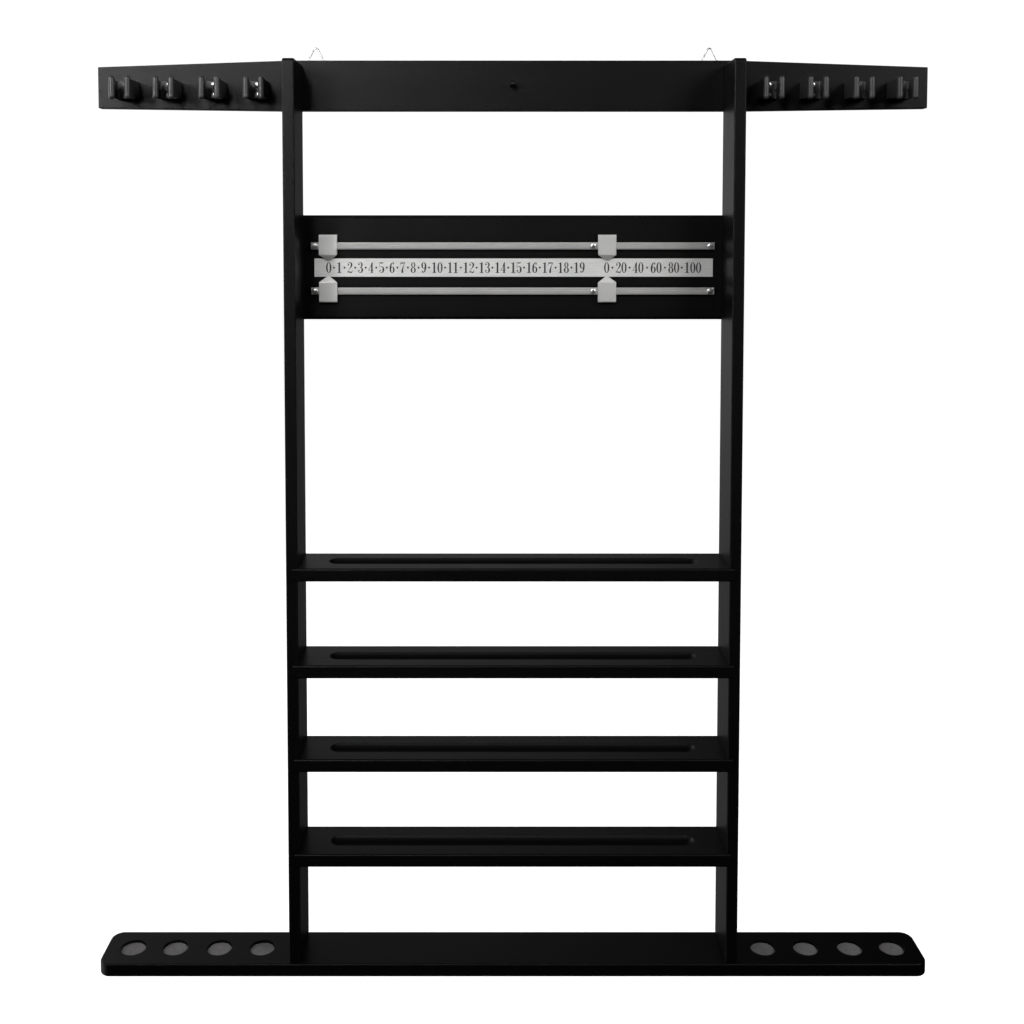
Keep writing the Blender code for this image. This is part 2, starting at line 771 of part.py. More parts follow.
def add_hanger(side, x):
    """Strap folded round the ring's bar and screwed into the back of the top board."""
    half = STRAP_T / 2
    reach = math.sqrt(STRAP_LOOP_R ** 2 - half ** 2)
    outline = [(-half, -STRAP_LEN), (-half, -reach)]
    start = math.atan2(-reach, -half)
    stop = math.atan2(-reach, half)
    sweep = -(start + 2 * math.pi - stop)
    steps = 14
    for k in range(1, steps):
        angle = start + sweep * k / steps
        outline.append((STRAP_LOOP_R * math.cos(angle), STRAP_LOOP_R * math.sin(angle)))
    outline += [(half, -reach), (half, -STRAP_LEN)]
    name = f"hanger_strap_{side}"
    place = (x, RING_Y, RING_Z)
    mesh = mesh_of(name, prism(outline, "X", -STRAP_HALF, STRAP_HALF))
    strap = add_piece(name, mesh, chrome(), place, smooth=True)
    reach_past = STRAP_HALF + CUT_PAST
    eye = placed(cylinder(RING_WIRE_R + STRAP_EYE_PLAY, -reach_past, reach_past, 16), at(*place, "+X"))
    combine(strap, name + "_eye", eye, "DIFFERENCE")
    holes = [placed(screw_hole(STRAP_SCREW, STRAP_SHANK_R), spot) for spot in strap_screw_spots(x)]
    combine(strap, name + "_holes", joined(holes), "DIFFERENCE")
    name = f"hanger_ring_{side}"
    add_piece(name, mesh_of(name, ring_shape()), chrome(), place, smooth=True)


def build():
    for item in list(bpy.data.objects):
        bpy.data.objects.remove(item, do_unlink=True)
    add_top_board()
    add_score_panel()
    add_post("left_post", -1)
    add_post("right_post", 1)
    for number, top in enumerate(SHELF_TOPS, 1):
        add_shelf(f"ball_shelf_{number}", top)
    add_base_board()
    add_butt_felts()
    add_cue_clips()
    add_triangle_peg()
    add_number_strip()
    for level, height in RAIL_HEIGHTS.items():
        add_rail(f"rail_{level}", height)
    add_sliders()
    for side, x in HANGER_XS.items():
        add_hanger(side, x)
    add_clip_screws()
    add_rail_screws()


build()
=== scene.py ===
"""Looks of the wall cue rack: fine meshes, materials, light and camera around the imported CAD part.

Metres, +Z up. The wall is the plane Y = 0, the front of the rack faces -Y.
"""
import math

import bmesh
import bpy
from mathutils import Matrix, Vector


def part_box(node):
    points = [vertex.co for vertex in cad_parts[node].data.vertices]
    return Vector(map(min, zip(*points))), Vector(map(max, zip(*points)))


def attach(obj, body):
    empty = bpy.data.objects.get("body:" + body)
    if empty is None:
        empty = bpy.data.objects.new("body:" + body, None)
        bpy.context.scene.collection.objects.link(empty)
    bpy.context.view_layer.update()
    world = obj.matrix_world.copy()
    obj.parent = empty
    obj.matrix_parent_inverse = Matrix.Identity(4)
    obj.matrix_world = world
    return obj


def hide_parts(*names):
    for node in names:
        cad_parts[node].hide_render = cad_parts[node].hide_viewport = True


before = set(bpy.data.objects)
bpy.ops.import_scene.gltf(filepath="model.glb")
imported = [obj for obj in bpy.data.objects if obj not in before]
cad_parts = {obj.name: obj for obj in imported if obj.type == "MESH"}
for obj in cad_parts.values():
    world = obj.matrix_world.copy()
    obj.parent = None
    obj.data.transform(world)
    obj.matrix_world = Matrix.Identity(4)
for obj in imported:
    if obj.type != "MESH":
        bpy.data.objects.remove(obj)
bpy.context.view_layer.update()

GAP = 0.0003                    # clearance that touching pieces keep
CUT_PAST = 0.002                # how far cutters run past the face they cut

# boards
EDGE_R = 0.0012
WING_TOP_DROP = 0.0092          # the wing's upper edge falls by this towards its tip
WING_BOTTOM_RISE = 0.0037
PANEL_CHAMFERS = (0.004, 0.005)  # lower and upper front edge
CHAMFER_LEAN = 0.7              # depth of a chamfer for its height
POST_TOP_R = 0.006
POST_CORNER_R = 0.0022
POST_EDGE_R = 0.0018
SHELF_NOSE_R = 0.0025
BASE_CORNER_R = 0.016
BASE_EDGE_R = 0.002
GROOVE_R = 0.017
GROOVE_W = 0.028
GROOVE_HALF = 0.254
RIM = 0.0005                    # softened rim of grooves and recesses
FELT_GAP = 0.0005
BUTT_DEPTH = 0.0055
PEG_SPIGOT = 0.009
PEG_SPIGOT_R = 0.003
PEG_DOME = 0.0032

# clips
CLIP_WALL = 0.003
CLIP_BACK = 0.014
CLIP_JAW_H = 0.024
LIP_R = 0.00425
LIP_TIP = 0.0040                # rounding at both ends of a lip
LIP_SHIFT = 0.00175             # outward shift of a lip from the jaw's inner face
JAW_TAPER = 0.0004
CLIP_WEB = (0.0045, 0.005, 0.0012)   # gusset in a jaw's root: width, depth, half height
CLIP_EDGE_R = 0.0007

# score keeping
RAIL_WEB = (0.006, 0.0036)
GROOVE_ZS = (0.0011, -0.0019)    # the two fine grooves along a rail's face
SEAT_R = 0.0043                 # round seat under a rail screw's head
SHEET_T = 0.0012
SLIDER_SHIFT = 0.0017
SLIDER_H = 0.0282
SLIDER_W = 0.025
SLIDER_GAP = 0.00035
POINTER_LEN = 0.0080
POINTER_HALF = 0.0030           # half width of the pointer just above its blunt tip

# hangers
RING_Y = -0.0026
RING_DROP = 0.0055              # hinge bar below the top board's upper edge
RING_WIRE_R = 0.0011
RING_HALF = 0.014
RING_LEN = 0.0284
STRAP_T = 0.002
STRAP_LOOP_R = 0.00235
RING_POCKET = (0.0165, 0.0053, 0.0085)   # half width, depth, reach below the bar
STRAP_SCREW_DROPS = (0.010, 0.019)

# screws: (length, head radius, head height, shank radius)
CLIP_SCREW = (0.025, 0.0034, 0.0020, 0.0016)
RAIL_SCREW = (0.017, 0.0038, 0.0024, 0.0016)
STRAP_SCREW = (0.0085, 0.0024, 0.0008, 0.0013)
WOOD_SCREW = (0.044, 0.0036, 0.0032, 0.0018)
BACK_SCREW_OFFSETS = {"top_board": 0.022, "score_panel": 0.050}
BASE_SCREW_OFFSET = 0.021
COUNTERSINK = (0.0015, -0.0004, -0.0036)   # heights of the cutter's top, the rim and the foot

# printed numbers
DIGIT_SIZE = (0.0170, 0.0150)    # scale of the upright cell the digits are drawn in
DIGIT_PITCH = 0.0080
DOT_R = 0.0014
DIGIT_GAP = 0.0009
INK_T = 0.00006
INK_SINK = 0.00002
UNITS = (-0.2572, 0.01477)       # place of 0 and the step to each next number
TEENS = (-0.1056, 0.02208)       # the same from 10 on
HUNDREDS = {"0": 0.1314, "20": 0.1516, "40": 0.1752, "60": 0.2005, "80": 0.2251, "100": 0.2518}

LACQUER_TONES = (0.0020, 0.0034)
LACQUER_ROUGH = (0.32, 0.42)
LACQUER_SHINE = 0.18

# view and light
CAMERA_PLACE = (-0.0379, -1.6633, -0.1985)
CAMERA_PITCH = 2.86             # degrees below the horizon
CAMERA_LENS = 41.41
CAMERA_SHIFT = (0.0258, -0.2191)
FLOOR_DROP = 0.30               # floor below the base board
FLOOR_HALF = 30.0
FLOOR_GLOW = 0.93
BACKDROP_GLOW = 1.05
# soft patches of room light: direction, cosines where a patch starts and is full, strength
ROOM_PATCHES = [
    ((-0.28, 0.95, -0.20), 0.86, 0.95, 0.18),
    ((-0.20, 0.95, 0.22), 0.88, 0.96, 0.24),
    ((0.4, 0.9, -0.2), 0.86, 0.96, 0.05),
    ((-1.0, 0.0, 0.0), 0.60, 0.85, 0.85),
]
# softboxes: place, point they face, size, watts, spread
SOFTBOXES = {
    "key_high": ((-0.95, -3.3, 1.4), (-0.35, 0, 0.05), 0.5, 3.1, 50),
    "key_left": ((-1.6, -2.6, 1.2), (-0.4, 0, 0.05), 0.7, 2.0, 60),
    "left_gloss": ((-2.0, -2.6, 0.5), (-0.55, 0, 0.0), 0.6, 2.4, 40),
    "left_rim": ((-2.3, -1.3, 1.2), (-0.4, 0, 0), 1.2, 2.2, 120),
    "right_fill": ((1.9, -1.7, 0.9), (0.4, 0, 0.0), 1.2, 8.8, 80),
    "top_fill": ((-0.2, -2.2, 1.9), (0, 0, -0.2), 1.4, 3.6, 120),
    "back_left": ((-2.2, 1.6, 0.2), (0, 0, -0.5), 1.6, 12.5, 180),
}

scene = bpy.context.scene


# ---------------- shape helpers
# A shape is a pair: a list of points and a list of faces.

def prism(outline, axis, low, high):
    """Closed outline extruded along an axis; its pairs are the two other axes in order."""
    count = len(outline)
    points = []
    for depth in (low, high):
        for pair in outline:
            point = list(pair)
            point.insert("XYZ".index(axis), depth)
            points.append(tuple(point))
    faces = [tuple(range(count)), tuple(range(count, 2 * count))]
    for i in range(count):
        j = (i + 1) % count
        faces.append((i, j, j + count, i + count))
    return points, faces


def cuboid(low, high):
    outline = [(low[0], low[1]), (high[0], low[1]), (high[0], high[1]), (low[0], high[1])]
    return prism(outline, "Z", low[2], high[2])


def fillet(corners, steps=6, closed=True):
    """Outline through (a, b, radius) corners, each radius drawn as an arc of some steps."""
    outline = []
    count = len(corners)
    for i, (a, b, radius) in enumerate(corners):
        here = Vector((a, b))
        end = not closed and i in (0, count - 1)
        if radius == 0 or end:
            outline.append((a, b))
            continue
        before = (Vector(corners[i - 1][:2]) - here).normalized()
        after = (Vector(corners[(i + 1) % count][:2]) - here).normalized()
        half = before.angle(after) / 2
        centre = here + (before + after).normalized() * (radius / math.sin(half))
        start = here + before * (radius / math.tan(half)) - centre
        stop = here + after * (radius / math.tan(half)) - centre
        sweep = start.angle_signed(stop)
        for step in range(steps + 1):
            arm = start.copy()
            arm.rotate(Matrix.Rotation(-sweep * step / steps, 2))
            outline.append(tuple(centre + arm))
    return outline


def ribbon(path, half_width):
    """Outline of a band along an open path; half_width is a number or one per point."""
    sides = ([], [])
    last = len(path) - 1
    widths = half_width if isinstance(half_width, list) else [half_width] * len(path)
    for i, point in enumerate(path):
        here = Vector(point)
        arrive = (here - Vector(path[max(i - 1, 0)])) if i else Vector(path[1]) - here
        leave = (Vector(path[min(i + 1, last)]) - here) if i < last else arrive
        normals = [Vector((-way.y, way.x)).normalized() for way in (arrive, leave)]
        mitre = normals[0] + normals[1]
        mitre = mitre * (2 * widths[i] / mitre.length_squared)
        sides[0].append(tuple(here + mitre))
        sides[1].append(tuple(here - mitre))
    return sides[0] + sides[1][::-1]


def turned(profile, segments):
    """Solid of revolution about Z from (radius, height) pairs that start and end on the axis."""
    points = [(0, 0, profile[0][1])]
    for radius, height in profile[1:-1]:
        for k in range(segments):
            angle = 2 * math.pi * k / segments
            points.append((radius * math.cos(angle), radius * math.sin(angle), height))
    points.append((0, 0, profile[-1][1]))
    rings = len(profile) - 2
    faces = []
    for k in range(segments):
        n = (k + 1) % segments
        faces.append((0, 1 + n, 1 + k))
        for ring in range(rings - 1):
            base = 1 + ring * segments
            faces.append((base + k, base + n, base + segments + n, base + segments + k))
        base = 1 + (rings - 1) * segments
        faces.append((base + k, base + n, len(points) - 1))
    return points, faces


def cylinder(radius, low, high, segments):
    return turned([(0, low), (radius, low), (radius, high), (0, high)], segments)


def placed(shape, matrix):
    return [tuple(matrix @ Vector(point)) for point in shape[0]], shape[1]


def joined(shapes):
    points = []
    faces = []
    for shape in shapes:
        offset = len(points)
        points += shape[0]
        faces += [tuple(index + offset for index in face) for face in shape[1]]
    return points, faces


def repeated(shape, places):
    return joined([placed(shape, place) for place in places])


def spun(place, degrees):
    return place @ Matrix.Rotation(math.radians(degrees), 4, "Z")


def at(x, y, z, turn=None):
    """Placement whose local +Z points along a named direction."""
    turns = {
        None: Matrix.Identity(4),
        "+Y": Matrix.Rotation(-math.pi / 2, 4, "X"),
        "-Y": Matrix.Rotation(math.pi / 2, 4, "X"),
        "+X": Matrix.Rotation(math.pi / 2, 4, "Y"),
        "-Z": Matrix.Rotation(math.pi, 4, "X"),
    }
    return Matrix.Translation((x, y, z)) @ turns[turn]


def rounded(high, radius, reach, steps=4):
    """Quarter-round (radius, height) profile at the top of a turned tip."""
    points = []
    for k in range(steps + 1):
        angle = math.pi / 2 * k / steps
        points.append((radius - reach + reach * math.cos(angle), high - reach + reach * math.sin(angle)))
    return points


# ---------------- mesh helpers

def mesh_of(name, shape):
    mesh = bpy.data.meshes.new(name)
    work = bmesh.new()
    corners = [work.verts.new(point) for point in shape[0]]
    for face in shape[1]:
        work.faces.new([corners[index] for index in face])
    bmesh.ops.recalc_face_normals(work, faces=work.faces)
    work.to_mesh(mesh)
    work.free()
    return mesh


def worked(shape, looks, bevel=0.0, segments=4, angle=40, joins=(), cuts=()):
    """Mesh of a shape with its edges rounded, other shapes joined on and others cut away.

    Rounded edges take the second look, if there is one.
    """
    mesh = mesh_of("work", shape)
    for look in looks:
        mesh.materials.append(look)
    piece = bpy.data.objects.new("work", mesh)
    scene.collection.objects.link(piece)
    tools = []
    if bevel:
        edges = piece.modifiers.new("edges", "BEVEL")
        edges.width = bevel
        edges.segments = segments
        edges.limit_method = "ANGLE"
        edges.angle_limit = math.radians(angle)
        edges.material = len(looks) - 1 if len(looks) > 1 else -1
    for operation, shapes in (("UNION", joins), ("DIFFERENCE", cuts)):
        for tool_shape in shapes:
            tool = bpy.data.objects.new("tool", mesh_of("tool", tool_shape))
            scene.collection.objects.link(tool)
            tools.append(tool)
            boolean = piece.modifiers.new("boolean", "BOOLEAN")
            boolean.operation = operation
            boolean.solver = "EXACT"
            boolean.object = tool
    graph = bpy.context.evaluated_depsgraph_get()
    made = bpy.data.meshes.new_from_object(piece.evaluated_get(graph))
    for item in tools + [piece]:
        bpy.data.objects.remove(item, do_unlink=True)
    return made


def add_piece(name, mesh, body, nodes=(), place=None, sharp=35):
    """A finished piece that rides on a CAD body and stands for some CAD nodes."""
    mesh.name = name
    mesh.shade_smooth()
    mesh.set_sharp_from_angle(angle=math.radians(sharp))
    piece = bpy.data.objects.new(name, mesh)
    scene.collection.objects.link(piece)
    if place is not None:
        piece.matrix_world = place
    normals = piece.modifiers.new("even_normals", "WEIGHTED_NORMAL")
    normals.keep_sharp = True
    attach(piece, body)
    if nodes:
        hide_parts(*nodes)


def add_fine(node, mesh, place=None, body="rack", sharp=35):
    """The finished piece of one CAD node."""
    add_piece(node + "_fine", mesh, body, [node], place, sharp)


def middle(node):
    low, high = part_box(node)
    return (low + high) / 2


# ---------------- materials

class Look:
    """A Principled material and the few node steps that all the looks share."""

    def __init__(self, name, colour, roughness, metallic=0.0):
        self.material = bpy.data.materials.new(name)
        self.material.use_nodes = True
        self.tree = self.material.node_tree
        self.shader = self.tree.nodes["Principled BSDF"]
        self.set("Base Color", (*colour, 1.0))
        self.set("Roughness", roughness)
        self.set("Metallic", metallic)
        self.coordinates = self.node("ShaderNodeTexCoord")

    def set(self, socket, value):
        self.shader.inputs[socket].default_value = value

    def node(self, kind, **values):
        """New shader node with some of its inputs set."""
        node = self.tree.nodes.new(kind)
        for socket, value in values.items():
            node.inputs[socket].default_value = value
        return node

    def noise(self, scale, stretch=(1, 1, 1), detail=4.0, roughness=0.6):
        """Noise value in object space; stretch above 1 packs it tighter along that axis."""
        mapping = self.node("ShaderNodeMapping", Scale=stretch)
        texture = self.node("ShaderNodeTexNoise", Scale=scale, Detail=detail, Roughness=roughness)
        self.tree.links.new(self.coordinates.outputs["Object"], mapping.inputs["Vector"])
        self.tree.links.new(mapping.outputs["Vector"], texture.inputs["Vector"])
        return texture.outputs["Fac"]

    def ramp(self, value, stops):
        """Colours or grey levels at positions along a value."""
        ramp = self.node("ShaderNodeValToRGB")
        elements = ramp.color_ramp.elements
        for index, (position, colour) in enumerate(stops):
            element = elements[index] if index < 2 else elements.new(position)
            element.position = position
            rgb = colour if isinstance(colour, tuple) else (colour,) * 3
            element.color = (*rgb, 1.0)
        self.tree.links.new(value, ramp.inputs["Fac"])
        return ramp.outputs["Color"]

    def blend(self, mode, share, first, second):
        mix = self.node("ShaderNodeMix")
        mix.data_type = "RGBA"
        mix.blend_type = mode
        mix.inputs["Factor"].default_value = share
        self.tree.links.new(first, mix.inputs["A"])
        self.tree.links.new(second, mix.inputs["B"])
        return mix.outputs["Result"]

    def link(self, value, socket):
        self.tree.links.new(value, self.shader.inputs[socket])

    def bump(self, value, distance):
        """Adds a bump on top of those already there."""
        bump = self.node("ShaderNodeBump", Distance=distance)
        self.tree.links.new(value, bump.inputs["Height"])
        normal = self.shader.inputs["Normal"]
        if normal.is_linked:
            self.tree.links.new(normal.links[0].from_socket, bump.inputs["Normal"])
        self.tree.links.new(bump.outputs["Normal"], normal)


def grain_stretch(axis):
    """Noise scale that draws long fine lines along an axis."""
    return tuple(0.05 if name == axis else 1.0 for name in "XYZ")


def lacquer(name, axis):
    """Satin black lacquer over open-pored wood whose grain runs along an axis."""
    dark, light = LACQUER_TONES
    smooth, rough = LACQUER_ROUGH
    look = Look(name, (dark,) * 3, smooth)
    grain = look.noise(260, grain_stretch(axis), detail=6)
    cloud = look.noise(7, detail=3)
    dust = look.noise(1500, detail=2)
    tone = look.ramp(grain, [(0.30, dark), (0.72, light)])
    shade = look.ramp(cloud, [(0.30, 0.82), (0.70, 1.12)])
    specks = look.ramp(dust, [(0.74, 0.0), (0.80, 0.010)])
    look.set("Specular IOR Level", LACQUER_SHINE)
    colour = look.blend("MULTIPLY", 1.0, tone, shade)
    look.link(look.blend("ADD", 1.0, colour, specks), "Base Color")
    look.link(look.ramp(grain, [(0.25, rough), (0.75, smooth)]), "Roughness")
    pores = look.ramp(grain, [(0.30, 0.0), (0.46, 1.0)])
    look.bump(pores, 0.00004)
    look.bump(look.noise(420, detail=2), 0.00003)
    return look.material


def lacquer_edge(name):
    """Rounded edges, painted lighter than the boards and lighter still in patches: a painted highlight along
    the edges.
    """
    look = Look(name, (0.004,) * 3, 0.36)
    look.set("Specular IOR Level", LACQUER_SHINE)
    highlight_patches = look.noise(55, detail=6, roughness=0.7)
    fine = look.noise(900, detail=3)
    # painted highlight: edge colour lighter than the boards', brightest in noise patches, which are also
    # rougher
    painted_highlight = look.ramp(highlight_patches, [(0.52, (0.0036, 0.0036, 0.0038)), (0.72, (0.012, 0.011, 0.010))])
    shade = look.ramp(fine, [(0.3, 0.6), (0.7, 1.3)])
    look.link(look.blend("MULTIPLY", 0.5, painted_highlight, shade), "Base Color")
    look.link(look.ramp(highlight_patches, [(0.35, 0.34), (0.75, 0.50)]), "Roughness")
    look.bump(fine, 0.00003)
    return look.material


def moulded_plastic():
    look = Look("moulded_plastic", (0.030, 0.030, 0.031), 0.40)
    texture = look.noise(1400, detail=3)
    flow = look.noise(60, (1, 1, 0.3), detail=3)
    look.link(look.ramp(flow, [(0.3, 0.024), (0.7, 0.034)]), "Base Color")
    look.link(look.ramp(texture, [(0.3, 0.36), (0.7, 0.46)]), "Roughness")
    look.bump(texture, 0.00005)
    look.bump(flow, 0.00010)
    return look.material


def grey_felt():
    look = Look("grey_felt", (0.20, 0.19, 0.195), 0.95)
    look.set("Sheen Weight", 0.35)
    look.set("Sheen Roughness", 0.55)
    fibres = look.noise(1100, (1, 0.35, 1), detail=6, roughness=0.75)
    crossed = look.noise(1100, (0.35, 1, 1), detail=6, roughness=0.75)
    patches = look.noise(110, detail=3)
    tangle = look.blend("LIGHTEN", 1.0, fibres, crossed)
    tone = look.ramp(tangle, [(0.40, (0.08, 0.075, 0.077)), (0.72, (0.22, 0.21, 0.214))])
    shade = look.ramp(patches, [(0.3, 0.8), (0.7, 1.15)])
    look.link(look.blend("MULTIPLY", 1.0, tone, shade), "Base Color")
    look.bump(tangle, 0.00025)
    return look.material


def satin_aluminium(name, axis, colour, metallic=0.55):
    """Bright aluminium with fine brushing along an axis, or a blasted surface with none."""
    look = Look(name, colour, 0.42, metallic)
    stretch = grain_stretch(axis) if axis else (1, 1, 1)
    brushing = look.noise(1300, stretch, detail=5, roughness=0.7)
    stain = look.noise(24, detail=4)
    low = tuple(0.86 * c for c in colour)
    high = tuple(min(1.0, 1.12 * c) for c in colour)
    tone = look.ramp(brushing, [(0.30, low), (0.70, high)])
    shade = look.ramp(stain, [(0.25, 0.94), (0.75, 1.03)])
    look.link(look.blend("MULTIPLY", 1.0, tone, shade), "Base Color")
    look.link(look.ramp(brushing, [(0.30, 0.50), (0.70, 0.36)]), "Roughness")
    look.bump(brushing, 0.00002)
    return look.material


def plated_steel():
    look = Look("plated_steel", (0.74, 0.74, 0.75), 0.20, 1.0)
    haze = look.noise(700, detail=4)
    look.link(look.ramp(haze, [(0.3, 0.24), (0.7, 0.40)]), "Roughness")
    cloud = look.noise(160, detail=3)
    look.link(look.ramp(cloud, [(0.3, (0.66, 0.66, 0.67)), (0.7, (0.80, 0.80, 0.80))]), "Base Color")
    look.bump(haze, 0.00001)
    return look.material


def printing_ink():
    look = Look("printing_ink", (0.010, 0.010, 0.011), 0.5)
    grit = look.noise(2600, detail=3)
    look.link(look.ramp(grit, [(0.3, 0.008), (0.75, 0.020)]), "Base Color")
    look.link(look.ramp(grit, [(0.3, 0.42), (0.7, 0.60)]), "Roughness")
    return look.material


LACQUER_X = lacquer("lacquer_grain_along_x", "X")
LACQUER_Z = lacquer("lacquer_grain_along_z", "Z")
# rounded board edges carry a painted highlight
LACQUER_EDGE_HIGHLIGHT = lacquer_edge("painted_highlight_lacquer_edges")
PLASTIC = moulded_plastic()
FELT = grey_felt()
BLASTED = satin_aluminium("blasted_aluminium", None, (0.66, 0.655, 0.645))
ROLLED = satin_aluminium("rolled_aluminium", "X", (0.70, 0.695, 0.685), 0.25)
BRUSHED = satin_aluminium("brushed_aluminium", "X", (0.44, 0.435, 0.43), 0.30)
PLATED = plated_steel()
INK = printing_ink()
BOARD_LOOKS = [LACQUER_X, LACQUER_EDGE_HIGHLIGHT]


# ---------------- fasteners

def cross_recess(head_top, radius):
    """Two crossed tapered blades that cut a driver recess into a screw head."""
    blades = []
    half = radius * 0.56
    wide = radius * 0.13
    shoulder = head_top - radius * 0.05
    floor = head_top - radius * 0.42
    for turn in (0, math.pi / 2):
        outline = [(-half, head_top + CUT_PAST), (half, head_top + CUT_PAST), (half, shoulder),
                   (half * 0.45, floor), (-half * 0.45, floor), (-half, shoulder)]
        blades.append(placed(prism(outline, "Y", -wide, wide), Matrix.Rotation(turn, 4, "Z")))
    return blades


def thread(length, radius):
    """Profile of a wood screw's shank from under the head down to its tip."""
    pitch = 0.0012
    root = radius * 0.72
    height = -length * 0.30
    profile = [(radius, -0.0004), (radius, height)]
    while height - pitch > -length + 0.0030:
        profile += [(root, height - pitch * 0.35), (root, height - pitch * 0.65), (radius, height - pitch)]
        height -= pitch
    profile += [(root * 0.6, -length + 0.0012), (0, -length)]
    return profile


def screw_mesh(size, sunk=False):
    """Cross-head screw: a pan head on z = 0, or a sunk head with its face at z = 0."""
    length, head_r, head_h, shank_r = size
    if sunk:
        top = -0.0002
        profile = [(0, top), (head_r - 0.0002, top), (head_r, top - 0.0003), (shank_r, -head_h)]
        shank = [(r, z - head_h) for r, z in thread(length - head_h, shank_r)]
    else:
        top = head_h
        dome = [(head_r * math.sin(a), head_h * (0.55 + 0.45 * math.cos(a)))
                for a in (math.pi / 2 * k / 7 for k in range(1, 8))]
        profile = [(0, top)] + dome + [(head_r, head_h * 0.12), (head_r * 0.95, 0.0)]
        shank = thread(length, shank_r)
    return worked(turned(profile + shank, 28), [PLATED], cuts=cross_recess(top, head_r))


def wood_screw_hole():
    top, rim, foot = COUNTERSINK
    wide = WOOD_SCREW[1] + GAP
    narrow = WOOD_SCREW[3] + GAP
    end = -WOOD_SCREW[0] - GAP
    return turned([(0, top), (wide, top), (wide, rim), (narrow, foot), (narrow, end), (0, end)], 24)


def screw_hole(size):
    return cylinder(size[3] + GAP, -size[0] - GAP, CUT_PAST, 20)


def back_screw_spots():
    """Wood screws through top board and score panel into the posts' back edges."""
    spots = []
    for post in ("left_post", "right_post"):
        for board, offset in BACK_SCREW_OFFSETS.items():
            for side in (-1, 1):
                spots.append(at(middle(post).x, 0, middle(board).z + side * offset, "+Y"))
    return spots


def base_screw_spots():
    """Wood screws from under the base board into the posts' feet."""
    spots = []
    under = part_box("base_board")[0].z
    for post in ("left_post", "right_post"):
        for side in (-1, 1):
            y = middle("base_board").y + side * BASE_SCREW_OFFSET
            spots.append(at(middle(post).x, y, under, "-Z"))
    return spots


def strap_screw_spots(side):
    x = middle(f"hanger_strap_{side}").x
    return [at(x, RING_Y + STRAP_T / 2, ring_height() - drop, "+Y") for drop in STRAP_SCREW_DROPS]


def ring_height():
    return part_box("top_board")[1].z - RING_DROP


def seat_of(node, size):
    """Placement of a pan-head screw from its CAD node's box."""
    centre = middle(node)
    return at(centre.x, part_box(node)[0].y + size[2], centre.z, "-Y")


def clip_screw_nodes():
    return [f"clip_screw_{number}_{level}" for number in range(1, 9) for level in ("lower", "upper")]


def rail_screw_nodes(level):
    return [f"rail_screw_{level}_{place}" for place in ("left", "middle", "right")]


def add_screws():
    clip_screw = screw_mesh(CLIP_SCREW)
    rail_screw = screw_mesh(RAIL_SCREW)
    strap_screw = screw_mesh(STRAP_SCREW)
    wood_screw = screw_mesh(WOOD_SCREW, sunk=True)
    for index, node in enumerate(clip_screw_nodes()):
        add_fine(node, clip_screw, spun(seat_of(node, CLIP_SCREW), 37 * index))
    for level in ("upper", "lower"):
        for index, node in enumerate(rail_screw_nodes(level)):
            add_fine(node, rail_screw, spun(seat_of(node, RAIL_SCREW), 25 + 48 * index))
    for index, spot in enumerate(back_screw_spots(), 1):
        place = spun(spot, 31 * index)
        add_piece(f"back_wood_screw_{index}", wood_screw, "rack", place=place)
    for index, spot in enumerate(base_screw_spots(), 1):
        place = spun(spot, 23 * index)
        add_piece(f"base_wood_screw_{index}", wood_screw, "rack", place=place)
    for side in ("left", "right"):
        for index, spot in enumerate(strap_screw_spots(side), 1):
            add_piece(f"strap_screw_{side}_{index}", strap_screw, "rack", place=spot)


# ---------------- boards

def add_top_board():
    low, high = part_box("top_board")
    post_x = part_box("right_post")[1].x
    right = [(post_x, low.z), (high.x, low.z + WING_BOTTOM_RISE),
             (high.x, high.z - WING_TOP_DROP), (post_x, high.z)]
    outline = right + [(-x, z) for x, z in reversed(right)]
    half_pocket, pocket_depth, pocket_drop = RING_POCKET
    cuts = []
    for side in ("left", "right"):
        strap_low, strap_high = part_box(f"hanger_strap_{side}")
        x = (strap_low.x + strap_high.x) / 2
        z = ring_height()
        corners = [(x - half_pocket, high.z + CUT_PAST, 0), (x - half_pocket, z - pocket_drop, 0.003),
                   (x + half_pocket, z - pocket_drop, 0.003), (x + half_pocket, high.z + CUT_PAST, 0)]
        cuts.append(prism(fillet(corners), "Y", -pocket_depth, CUT_PAST))
        cuts.append(cuboid((strap_low.x - GAP, RING_Y - STRAP_T / 2 - GAP, strap_low.z - GAP),
                           (strap_high.x + GAP, CUT_PAST, z)))
    peg = middle("triangle_peg")
    peg_hole = cylinder(PEG_SPIGOT_R + GAP, -PEG_SPIGOT - GAP, CUT_PAST, 24)
    holes = [
        repeated(screw_hole(CLIP_SCREW), [seat_of(node, CLIP_SCREW) for node in clip_screw_nodes()]),
        repeated(screw_hole(STRAP_SCREW), strap_screw_spots("left") + strap_screw_spots("right")),
        repeated(wood_screw_hole(), back_screw_spots()),
        placed(peg_hole, at(peg.x, low.y, peg.z, "-Y")),
    ]
    mesh = worked(prism(outline, "Y", low.y, high.y), BOARD_LOOKS, EDGE_R, cuts=cuts + [joined(holes)])
    add_fine("top_board", mesh)


def add_score_panel():
    low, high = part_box("score_panel")
    low_cut, high_cut = PANEL_CHAMFERS
    corners = [
        (high.y, low.z, 0.0005),
        (high.y, high.z, 0.0005),
        (low.y + high_cut * CHAMFER_LEAN, high.z, 0.0008),
        (low.y, high.z - high_cut, 0.0008),
        (low.y, low.z + low_cut, 0.0008),
        (low.y + low_cut * CHAMFER_LEAN, low.z, 0.0008),
    ]
    rail_seats = [seat_of(node, RAIL_SCREW) for node in rail_screw_nodes("upper") + rail_screw_nodes("lower")]
    holes = [repeated(wood_screw_hole(), back_screw_spots()), repeated(screw_hole(RAIL_SCREW), rail_seats)]
    mesh = worked(prism(fillet(corners, 4), "X", low.x, high.x), BOARD_LOOKS, cuts=[joined(holes)])
    add_fine("score_panel", mesh, sharp=50)


